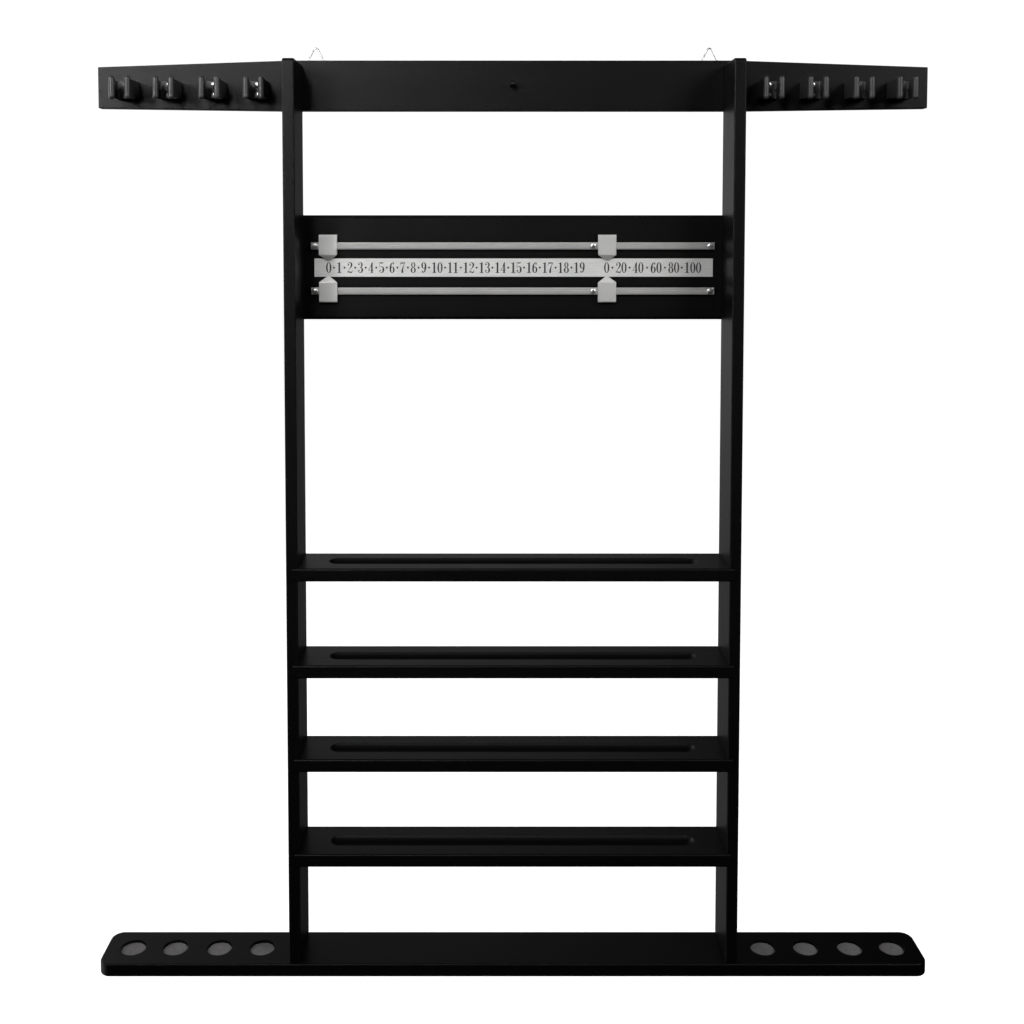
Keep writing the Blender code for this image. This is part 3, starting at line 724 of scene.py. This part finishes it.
def add_post(node, side):
    low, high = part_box(node)
    corners = [
        (high.y, low.z, POST_CORNER_R),
        (high.y, high.z, POST_CORNER_R),
        (low.y, high.z, POST_TOP_R),
        (low.y, low.z, POST_CORNER_R),
    ]
    inner = low.x if side > 0 else high.x
    open_x = inner - side * 0.005
    clear = 0.01
    housings = []
    for number in range(1, 5):
        shelf_low, shelf_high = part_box(f"ball_shelf_{number}")
        floor = (shelf_high.x if side > 0 else shelf_low.x) + side * GAP
        housings.append(cuboid((min(floor, open_x), low.y - clear, shelf_low.z - GAP),
                               (max(floor, open_x), high.y + clear, shelf_high.z + GAP)))
    spots = [spot for spot in back_screw_spots() + base_screw_spots() if spot.translation.x * side > 0]
    mesh = worked(prism(fillet(corners, 8), "X", low.x, high.x), [LACQUER_Z, LACQUER_EDGE_HIGHLIGHT], POST_EDGE_R,
                  cuts=[joined(housings), repeated(wood_screw_hole(), spots)])
    add_fine(node, mesh)


def groove_cutter():
    """Bar with ball ends, lying along X, that leaves a rounded groove with round ends."""
    half = GROOVE_HALF - GROOVE_W / 2
    steps = 16
    profile = []
    for k in range(steps + 1):
        angle = math.pi / 2 * k / steps
        profile.append((GROOVE_R * math.sin(angle), -half - GROOVE_R * math.cos(angle)))
    profile += [(radius, -height) for radius, height in reversed(profile)]
    return turned(profile, 72)


def rim_cutter(half_length, half_width, top):
    """Shallow flared cut with round ends that softens a groove's rim."""
    points = []
    steps = 20
    levels = ((-RIM, 0.0), (0.0, RIM), (RIM, 3 * RIM))
    for height, grow in levels:
        radius = half_width + grow
        for end in (1, -1):
            for k in range(steps + 1):
                angle = -math.pi / 2 + math.pi * k / steps
                points.append((end * (half_length - half_width + radius * math.cos(angle)),
                               end * radius * math.sin(angle), top + height))
    count = len(points) // len(levels)
    faces = [tuple(range(count)), tuple(range(2 * count, 3 * count))]
    for level in range(len(levels) - 1):
        for i in range(count):
            j = (i + 1) % count
            base = level * count
            faces.append((base + i, base + j, base + count + j, base + count + i))
    return points, faces


def add_shelf(number):
    node = f"ball_shelf_{number}"
    low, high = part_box(node)
    corners = [
        (high.y, low.z, EDGE_R),
        (high.y, high.z, EDGE_R),
        (low.y, high.z, SHELF_NOSE_R),
        (low.y, low.z, SHELF_NOSE_R),
    ]
    rise = math.sqrt(GROOVE_R ** 2 - (GROOVE_W / 2) ** 2)
    middle_y = (low.y + high.y) / 2
    groove = placed(groove_cutter(), at(0, middle_y, high.z + rise, "+X"))
    rim = placed(rim_cutter(GROOVE_HALF, GROOVE_W / 2, high.z), Matrix.Translation((0, middle_y, 0)))
    mesh = worked(prism(fillet(corners, 6), "X", low.x, high.x), BOARD_LOOKS, cuts=[groove, rim])
    add_fine(node, mesh, sharp=28)


def add_base_board():
    low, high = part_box("base_board")
    corners = [(low.x, high.y, BASE_CORNER_R), (high.x, high.y, BASE_CORNER_R),
               (high.x, low.y, BASE_CORNER_R), (low.x, low.y, BASE_CORNER_R)]
    recess = []
    for number in range(1, 9):
        felt_low, felt_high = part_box(f"butt_felt_{number}")
        centre = (felt_low + felt_high) / 2
        radius = (felt_high.x - felt_low.x) / 2 + FELT_GAP
        profile = [(0, -BUTT_DEPTH), (radius, -BUTT_DEPTH), (radius, -RIM), (radius + RIM * 0.3, -RIM * 0.3),
                   (radius + RIM, 0), (radius + 3 * RIM, RIM), (0, RIM)]
        recess.append(placed(turned(profile, 64), at(centre.x, centre.y, high.z)))
    mesh = worked(prism(fillet(corners, 10), "Z", low.z, high.z), BOARD_LOOKS, BASE_EDGE_R,
                  cuts=[joined(recess), repeated(wood_screw_hole(), base_screw_spots())])
    add_fine("base_board", mesh)


def add_peg():
    low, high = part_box("triangle_peg")
    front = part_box("top_board")[0].y
    radius = (high.x - low.x) / 2
    length = front - low.y
    foot = 0.0001
    profile = [(0, -PEG_SPIGOT), (PEG_SPIGOT_R, -PEG_SPIGOT), (PEG_SPIGOT_R, foot), (radius - 0.0004, foot),
               (radius, 0.0006)]
    steps = 8
    for k in range(steps + 1):
        angle = math.pi / 2 * k / steps
        profile.append((radius * math.cos(angle) if k < steps else 0,
                        length - PEG_DOME + PEG_DOME * math.sin(angle)))
    centre = middle("triangle_peg")
    mesh = worked(turned(profile, 40), [LACQUER_Z])
    add_fine("triangle_peg", mesh, at(centre.x, front, centre.z, "-Y"))


# ---------------- cue stations

def felt_shape(radius, thick):
    """Disc with a soft edge and a slightly uneven top."""
    flat = radius - 0.0007
    rings = 12
    profile = [(0, 0), (radius - 0.0003, 0), (radius, 0.0003), (radius, thick - 0.0006)]
    profile += [(radius - 0.00025, thick - 0.00022), (flat, thick - 0.00005)]
    profile += [(flat * (rings - k) / rings, thick) for k in range(1, rings)]
    profile += [(0, thick)]
    points, faces = turned(profile, 56)
    uneven = []
    for x, y, z in points:
        wave = math.sin(1900 * x + 700 * y) * math.sin(1700 * y - 600 * x) * 0.00007
        uneven.append((x, y, z + wave if z > thick * 0.9 else z))
    return uneven, faces


def add_felts():
    low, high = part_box("butt_felt_1")
    mesh = worked(felt_shape((high.x - low.x) / 2, high.z - low.z - 0.0001), [FELT])
    for number in range(1, 9):
        node = f"butt_felt_{number}"
        centre = middle(node)
        turn = Matrix.Rotation(0.9 * number, 4, "Z")
        place = at(centre.x, centre.y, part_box(node)[0].z) @ turn
        add_fine(node, mesh, place, sharp=60)


def clip_mesh():
    """Spring clip: a block with two jaws that end in upright round lips."""
    low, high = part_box("cue_clip_1")
    half = (high.x - low.x) / 2
    inner = half - CLIP_WALL
    reach = high.y - low.y - LIP_R
    lip_x = inner - LIP_R + LIP_SHIFT + CLIP_WALL / 2
    right = [
        (0, 0, 0),
        (half, 0, 0.0018),
        (half, -CLIP_BACK, 0.004),
        (half - JAW_TAPER, -reach, 0),
        (inner - JAW_TAPER / 2, -reach, 0),
        (inner, -CLIP_BACK, 0.0035),
        (0, -CLIP_BACK, 0),
    ]
    left = [(-x, y, radius) for x, y, radius in reversed(right[1:-1])]
    body = prism(fillet(right + left), "Z", -CLIP_JAW_H / 2, CLIP_JAW_H / 2)
    lip_half = (high.z - low.z) / 2
    tip = rounded(lip_half, LIP_R, LIP_TIP)
    profile = [(0, -lip_half)] + [(r, -z) for r, z in reversed(tip)] + tip + [(0, lip_half)]
    lips = [placed(turned(profile, 36), at(side * lip_x, -reach, 0)) for side in (-1, 1)]
    width, depth, web_half = CLIP_WEB
    root = -CLIP_BACK + 0.001
    jaw = inner - 0.0001
    webs = []
    for side in (-1, 1):
        outline = [(side * jaw, root), (side * jaw, -CLIP_BACK - depth), (side * (inner - width), root)]
        webs.append(prism(outline, "Z", -web_half, web_half))
    offset = abs(middle("clip_screw_1_upper").z - middle("clip_screw_1_lower").z) / 2
    seats = repeated(screw_hole(CLIP_SCREW), [at(0, -CLIP_BACK, z, "-Y") for z in (-offset, offset)])
    return worked(body, [PLASTIC], CLIP_EDGE_R, 3, joins=lips + webs, cuts=[seats])


def add_clips():
    mesh = clip_mesh()
    for number in range(1, 9):
        node = f"cue_clip_{number}"
        centre = middle(node)
        add_fine(node, mesh, at(centre.x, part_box(node)[1].y, centre.z))


# ---------------- score keeping

def add_rail(level):
    """T-shaped rail with two fine grooves and a lower band that leans back."""
    node = f"rail_{level}"
    low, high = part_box(node)
    half = (high.z - low.z) / 2
    foot = RAIL_WEB[0] / 2
    step = high.y - RAIL_WEB[1]
    lean = 0.0007
    groove = 0.00055
    corners = [
        (high.y, -foot, 0),
        (high.y, foot, 0),
        (step, foot, 0),
        (step, half, 0.0002),
        (low.y + 0.0004, half, 0.0003),
        (low.y, half - 0.0008, 0.0006),
    ]
    for z in GROOVE_ZS:
        corners += [(low.y, z + groove, 0.00008), (low.y + groove, z, 0.0001), (low.y, z - groove, 0.00008)]
    corners += [
        (low.y + lean, -half + 0.0003, 0.0003),
        (low.y + lean + 0.0005, -half, 0.0002),
        (step, -half, 0.0002),
        (step, -foot, 0),
    ]
    place = Matrix.Translation((0, 0, middle(node).z))
    inverse = place.inverted()
    spots = [inverse @ seat_of(screw, RAIL_SCREW) for screw in rail_screw_nodes(level)]
    cuts = [repeated(screw_hole(RAIL_SCREW), spots), repeated(cylinder(SEAT_R, 0, CUT_PAST, 40), spots)]
    mesh = worked(prism(fillet(corners, 3), "X", low.x, high.x), [BRUSHED], cuts=cuts)
    add_fine(node, mesh, place, sharp=22)


def slider_mesh():
    """Folded sheet box that threads onto the rail, with a pointer bent back to the strip.

    Its origin is on the slide axis, in the rail's front face.
    """
    rail_low, rail_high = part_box("rail_upper")
    back_plane = rail_high.y - rail_low.y
    strip_low, strip_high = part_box("number_strip")
    strip_face = back_plane - (strip_high.y - strip_low.y)
    rail_half = (rail_high.z - rail_low.z) / 2
    flange_depth = back_plane - RAIL_WEB[1]
    half = SLIDER_W / 2
    fold = -SLIDER_GAP - SHEET_T / 2
    top = SLIDER_SHIFT + SLIDER_H / 2
    bottom = SLIDER_SHIFT - SLIDER_H / 2
    back = back_plane - 0.0007
    path = fillet([
        (back, top - SHEET_T / 2, 0),
        (fold, top - SHEET_T / 2, 0.0014),
        (fold, bottom, 0.002),
        (strip_face - 0.0011, bottom - POINTER_LEN, 0),
    ], 8, closed=False)
    sheet = prism(ribbon(path, SHEET_T / 2), "X", -half, half)
    trims = []
    for side in (-1, 1):
        past_x = side * half * 1.1
        past_z = bottom - POINTER_LEN * 1.3
        corners = [(past_x, bottom, 0), (side * half, bottom, 0),
                   (side * POINTER_HALF, bottom - POINTER_LEN * 0.88, 0.002),
                   (0, bottom - POINTER_LEN * 1.03, 0), (0, past_z, 0), (past_x, past_z, 0)]
        trims.append(prism(fillet(corners, 5), "Y", fold - SHEET_T, back + 0.004))
    flange = rail_half + GAP
    foot = RAIL_WEB[0] / 2 + GAP
    lip = flange_depth + GAP
    inset = 0.0001
    cheek = [
        (fold, bottom + 0.001), (fold, top - 0.001), (back, top - 0.001), (back, foot),
        (lip, foot), (lip, flange), (-GAP, flange), (-GAP, -flange),
        (lip, -flange), (lip, -foot), (back, -foot), (back, bottom + 0.001),
    ]
    cheeks = [prism(cheek, "X", half - SHEET_T - inset, half - inset),
              prism(cheek, "X", -half + inset, -half + SHEET_T + inset)]
    return worked(sheet, [BLASTED], 0.00022, 2, angle=60, joins=cheeks, cuts=trims)


def add_sliders():
    mesh = slider_mesh()
    for level, turn in (("upper", 0), ("lower", math.pi)):
        rail = middle(f"rail_{level}")
        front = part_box(f"rail_{level}")[0].y
        for side in ("left", "right"):
            node = f"slider_{level}_{side}"
            place = at(middle(node).x, front, rail.z) @ Matrix.Rotation(turn, 4, "Y")
            add_fine(node, mesh, place, node)


def add_strip():
    low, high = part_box("number_strip")
    mesh = worked(cuboid(low, high), [ROLLED], 0.0002, 2)
    add_fine("number_strip", mesh)


# ---------------- printed numbers
# Digits are drawn in an upright cell: x from -0.22 to 0.22, y from 0 to 1.

def smooth_path(knots, steps=7):
    """Catmull-Rom curve through (x, y, half width) knots."""
    padded = [knots[0]] + list(knots) + [knots[-1]]
    curve = []
    for i in range(1, len(padded) - 2):
        before, start, stop, after = padded[i - 1:i + 3]
        for k in range(steps):
            t = k / steps
            curve.append(tuple(
                0.5 * (2 * b + (c - a) * t + (2 * a - 5 * b + 4 * c - d) * t ** 2
                       + (3 * b - a - 3 * c + d) * t ** 3)
                for a, b, c, d in zip(before, start, stop, after)))
    curve.append(knots[-1])
    return curve


def pen(*knots):
    """Flat stroke whose width changes along its way."""
    curve = smooth_path(knots)
    outline = ribbon([(x, y) for x, y, width in curve], [max(width, 0.006) for x, y, width in curve])
    return prism(outline, "Z", 0, 1)


def ball(x, y, radius):
    outline = [(x + radius * math.cos(2 * math.pi * k / 24), y + radius * math.sin(2 * math.pi * k / 24))
               for k in range(24)]
    return prism(outline, "Z", 0, 1)


def slab(*outline):
    return prism(list(outline), "Z", 0, 1)


def bowl(y, outer, inner):
    """Upright ring between two ellipses, thick at its sides."""
    count = 40
    points = []
    for radii in (outer, inner):
        for height in (0, 1):
            for k in range(count):
                angle = 2 * math.pi * k / count
                points.append((radii[0] * math.cos(angle), y + radii[1] * math.sin(angle), height))
    faces = []
    for k in range(count):
        n = (k + 1) % count
        for a, b in ((0, 1), (1, 3), (3, 2), (2, 0)):
            faces.append((a * count + k, a * count + n, b * count + n, b * count + k))
    return points, faces


def half_turned(shape):
    return placed(shape, Matrix.Translation((0, 1, 0)) @ Matrix.Rotation(math.pi, 4, "Z"))


def glyph_parts():
    """The shapes that make each digit, in a high-contrast slab-serif style."""
    six = [
        bowl(0.3, (0.205, 0.3), (0.078, 0.262)),
        pen((-0.142, 0.3, 0.06), (-0.135, 0.55, 0.064), (-0.08, 0.8, 0.05), (0.01, 0.945, 0.026),
            (0.09, 0.965, 0.02), (0.15, 0.9, 0.02)),
        ball(0.105, 0.85, 0.06),
    ]
    return {
        "0": [bowl(0.5, (0.215, 0.5), (0.09, 0.462))],
        "1": [
            slab((-0.185, 0), (0.185, 0), (0.185, 0.03), (0.068, 0.06), (0.068, 1.0), (0.015, 1.0),
                 (-0.07, 0.925), (-0.185, 0.895), (-0.185, 0.862), (-0.068, 0.862), (-0.068, 0.06),
                 (-0.185, 0.03)),
        ],
        "2": [
            ball(-0.12, 0.76, 0.066),
            pen((-0.172, 0.765, 0.016), (-0.13, 0.9, 0.022), (-0.01, 0.972, 0.024), (0.105, 0.91, 0.052),
                (0.145, 0.76, 0.066), (0.09, 0.57, 0.048), (-0.04, 0.36, 0.022), (-0.16, 0.16, 0.016),
                (-0.195, 0.02, 0.014)),
            pen((-0.185, 0.06, 0.02), (-0.09, 0.105, 0.046), (0.02, 0.075, 0.056), (0.12, 0.055, 0.052),
                (0.178, 0.12, 0.026), (0.192, 0.27, 0.014)),
        ],
        "3": [
            ball(-0.118, 0.79, 0.064),
            pen((-0.168, 0.795, 0.016), (-0.12, 0.915, 0.02), (-0.01, 0.975, 0.022), (0.095, 0.91, 0.046),
                (0.128, 0.765, 0.062), (0.085, 0.605, 0.044), (-0.05, 0.525, 0.016)),
            pen((-0.05, 0.53, 0.016), (0.08, 0.49, 0.036), (0.142, 0.38, 0.062), (0.148, 0.235, 0.068),
                (0.1, 0.085, 0.05), (-0.01, 0.025, 0.022), (-0.13, 0.075, 0.02), (-0.178, 0.2, 0.016)),
            ball(-0.122, 0.215, 0.064),
        ],
        "4": [
            slab((0.01, 0.02), (0.138, 0.02), (0.138, 1.0), (0.088, 1.0), (0.01, 0.86)),
            slab((-0.075, 0), (0.215, 0), (0.215, 0.038), (-0.075, 0.038)),
            slab((-0.215, 0.235), (0.215, 0.235), (0.215, 0.275), (-0.215, 0.275)),
            pen((0.1, 0.985, 0.018), (0.0, 0.72, 0.018), (-0.11, 0.46, 0.018), (-0.197, 0.255, 0.018)),
        ],
        "5": [
            ball(-0.118, 0.215, 0.064),
            pen((-0.172, 0.205, 0.016), (-0.125, 0.075, 0.02), (-0.01, 0.025, 0.022), (0.1, 0.095, 0.05),
                (0.148, 0.27, 0.068), (0.14, 0.42, 0.064), (0.08, 0.56, 0.038), (-0.04, 0.605, 0.02),
                (-0.15, 0.52, 0.014)),
            pen((-0.152, 0.51, 0.014), (-0.155, 0.75, 0.014), (-0.158, 0.97, 0.014)),
            pen((-0.165, 0.99, 0.012), (-0.08, 0.945, 0.046), (0.05, 0.93, 0.052), (0.16, 0.995, 0.014)),
        ],
        "6": six,
        "7": [
            pen((-0.196, 0.72, 0.014), (-0.18, 0.88, 0.026), (-0.1, 0.935, 0.052), (0.04, 0.925, 0.052),
                (0.195, 0.975, 0.02)),
            pen((0.192, 0.975, 0.016), (0.085, 0.7, 0.024), (0.005, 0.43, 0.046), (-0.03, 0.22, 0.068),
                (-0.032, 0.005, 0.072)),
        ],
        "8": [
            bowl(0.752, (0.172, 0.248), (0.07, 0.212)),
            bowl(0.272, (0.208, 0.272), (0.086, 0.236)),
        ],
        "9": [half_turned(part) for part in six],
    }


def text_width(text):
    return DIGIT_PITCH * len(text) - DIGIT_GAP


def dots_between(labels):
    """Places of the dots, midway between the edges of neighbouring labels."""
    dots = []
    for (text, x), (next_text, next_x) in zip(labels, labels[1:]):
        dots.append(((x + text_width(text) / 2) + (next_x - text_width(next_text) / 2)) / 2)
    return dots


def add_numbers():
    low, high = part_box("number_strip")
    glyphs = {}
    for digit, parts in glyph_parts().items():
        made = worked(parts[0], [INK], joins=parts[1:])
        glyphs[digit] = ([tuple(v.co) for v in made.vertices], [tuple(p.vertices) for p in made.polygons])
    units = [(str(n), UNITS[0] + UNITS[1] * n) for n in range(10)]
    teens = [(str(n + 10), TEENS[0] + TEENS[1] * n) for n in range(10)]
    flat = at(0, low.y + INK_SINK, (low.z + high.z) / 2, "-Y")
    size = Matrix.Diagonal((*DIGIT_SIZE, INK_T + INK_SINK, 1))
    dot = cylinder(DOT_R, 0, INK_T + INK_SINK, 24)
    shapes = []
    for labels in (units + teens, list(HUNDREDS.items())):
        for text, x in labels:
            for index, digit in enumerate(text):
                shift = (index - (len(text) - 1) / 2) * DIGIT_PITCH
                place = flat @ Matrix.Translation((x + shift, -DIGIT_SIZE[1] / 2, 0)) @ size
                shapes.append(placed(glyphs[digit], place))
        for x in dots_between(labels):
            shapes.append(placed(dot, flat @ Matrix.Translation((x, 0, 0))))
    mesh = mesh_of("score_numbers", joined(shapes))
    mesh.materials.append(INK)
    add_piece("score_numbers", mesh, "rack")


# ---------------- wall hangers

def wire_loop(outline, radius, sides=16):
    """Closed wire along an outline in the XZ plane."""
    count = len(outline)
    points = []
    faces = []
    for i, (x, z) in enumerate(outline):
        here = Vector((x, z))
        arrive = (here - Vector(outline[i - 1])).normalized()
        leave = (Vector(outline[(i + 1) % count]) - here).normalized()
        way = (arrive + leave).normalized()
        across = Vector((-way.y, way.x))
        for k in range(sides):
            angle = 2 * math.pi * k / sides
            shift = radius * math.cos(angle)
            points.append((x + across.x * shift, radius * math.sin(angle), z + across.y * shift))
            n = (k + 1) % sides
            j = (i + 1) % count
            faces.append((i * sides + k, i * sides + n, j * sides + n, j * sides + k))
    return points, faces


def add_hanger(side):
    strap_low, strap_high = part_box(f"hanger_strap_{side}")
    x = (strap_low.x + strap_high.x) / 2
    half_width = (strap_high.x - strap_low.x) / 2
    length = ring_height() - strap_low.z
    half = STRAP_T / 2
    reach = math.sqrt(STRAP_LOOP_R ** 2 - half ** 2)
    start = math.atan2(-reach, -half)
    stop = math.atan2(-reach, half)
    sweep = -(start + 2 * math.pi - stop)
    steps = 28
    outline = [(-half, -length), (-half, -reach)]
    for k in range(1, steps):
        angle = start + sweep * k / steps
        outline.append((STRAP_LOOP_R * math.cos(angle), STRAP_LOOP_R * math.sin(angle)))
    outline += [(half, -reach), (half, -length)]
    place = at(x, RING_Y, ring_height())
    eye = placed(cylinder(RING_WIRE_R + 0.00025, -0.01, 0.01, 32), at(0, 0, 0, "+X"))
    inverse = place.inverted()
    holes = repeated(screw_hole(STRAP_SCREW), [inverse @ spot for spot in strap_screw_spots(side)])
    slit = 0.00006
    past = 0.001
    fold_line = cuboid((-half_width - past, -slit, -length - past), (half_width + past, slit, -reach))
    mesh = worked(prism(outline, "X", -half_width, half_width), [PLATED], 0.0002, 2, 60,
                  cuts=[eye, holes, fold_line])
    add_fine(f"hanger_strap_{side}", mesh, place)
    corners = [(-RING_HALF, 0, 0.0025), (RING_HALF, 0, 0.0025), (0, RING_LEN, 0.0035)]
    ring = worked(wire_loop(fillet(corners, 10), RING_WIRE_R), [PLATED])
    node = f"hanger_ring_{side}"
    add_fine(node, ring, place, node, 60)


# ---------------- stage

def add_floor():
    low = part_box("base_board")[0]
    corners = [(x * FLOOR_HALF, y * FLOOR_HALF, 0) for x, y in ((-1, -1), (1, -1), (1, 1), (-1, 1))]
    mesh = bpy.data.meshes.new("floor")
    mesh.from_pydata(corners, [], [(0, 1, 2, 3)])
    floor = bpy.data.objects.new("floor", mesh)
    floor.location = (0, 0, low.z - FLOOR_DROP)
    scene.collection.objects.link(floor)
    look = Look("pale_floor", (0.9, 0.9, 0.9), 0.9)
    look.set("Emission Color", (1, 1, 1, 1))
    look.set("Emission Strength", FLOOR_GLOW)
    mesh.materials.append(look.material)
    floor.visible_diffuse = False
    floor.visible_glossy = False


def add_world():
    """White backdrop for the camera; dim patches of room light for everything else."""
    world = bpy.data.worlds.new("studio")
    scene.world = world
    world.use_nodes = True
    world.node_tree.nodes.clear()
    new = world.node_tree.nodes.new
    link = world.node_tree.links.new
    output = new("ShaderNodeOutputWorld")
    mix = new("ShaderNodeMixShader")
    path = new("ShaderNodeLightPath")
    backdrop = new("ShaderNodeBackground")
    backdrop.inputs["Color"].default_value = (1, 1, 1, 1)
    backdrop.inputs["Strength"].default_value = BACKDROP_GLOW
    direction = new("ShaderNodeTexCoord")
    room = new("ShaderNodeBackground")
    room.inputs["Color"].default_value = (0, 0, 0, 1)
    light = room.outputs["Background"]
    for way, edge, full, level in ROOM_PATCHES:
        towards = new("ShaderNodeVectorMath")
        towards.operation = "DOT_PRODUCT"
        towards.inputs[1].default_value = Vector(way).normalized()
        patch = new("ShaderNodeMapRange")
        patch.inputs["From Min"].default_value = edge
        patch.inputs["From Max"].default_value = full
        patch.inputs["To Max"].default_value = level
        glow = new("ShaderNodeBackground")
        glow.inputs["Color"].default_value = (1, 1, 1, 1)
        both = new("ShaderNodeAddShader")
        link(direction.outputs["Generated"], towards.inputs[0])
        link(towards.outputs["Value"], patch.inputs["Value"])
        link(patch.outputs["Result"], glow.inputs["Strength"])
        link(light, both.inputs[0])
        link(glow.outputs["Background"], both.inputs[1])
        light = both.outputs["Shader"]
    link(path.outputs["Is Camera Ray"], mix.inputs["Fac"])
    link(light, mix.inputs[1])
    link(backdrop.outputs["Background"], mix.inputs[2])
    link(mix.outputs["Shader"], output.inputs["Surface"])


def add_softbox(name, place, aim, size, power, spread):
    light = bpy.data.lights.new(name, "AREA")
    light.shape = "RECTANGLE"
    light.size = light.size_y = size
    light.energy = power
    light.spread = math.radians(spread)
    softbox = bpy.data.objects.new(name, light)
    softbox.location = place
    softbox.rotation_euler = (Vector(aim) - Vector(place)).to_track_quat("-Z", "Y").to_euler()
    scene.collection.objects.link(softbox)


def add_camera():
    lens = bpy.data.cameras.new("camera")
    lens.lens = CAMERA_LENS
    lens.shift_x, lens.shift_y = CAMERA_SHIFT
    camera = bpy.data.objects.new("camera", lens)
    camera.location = CAMERA_PLACE
    camera.rotation_euler = (math.radians(90 - CAMERA_PITCH), 0, 0)
    scene.collection.objects.link(camera)
    scene.camera = camera


def set_stage():
    add_camera()
    add_floor()
    add_world()
    scene.view_settings.view_transform = "Standard"
    for name, values in SOFTBOXES.items():
        add_softbox(name, *values)


add_top_board()
add_score_panel()
add_post("left_post", -1)
add_post("right_post", 1)
for shelf_number in range(1, 5):
    add_shelf(shelf_number)
add_base_board()
add_peg()
add_felts()
add_clips()
for rail_level in ("upper", "lower"):
    add_rail(rail_level)
add_strip()
add_numbers()
add_sliders()
for hanger_side in ("left", "right"):
    add_hanger(hanger_side)
add_screws()
set_stage()
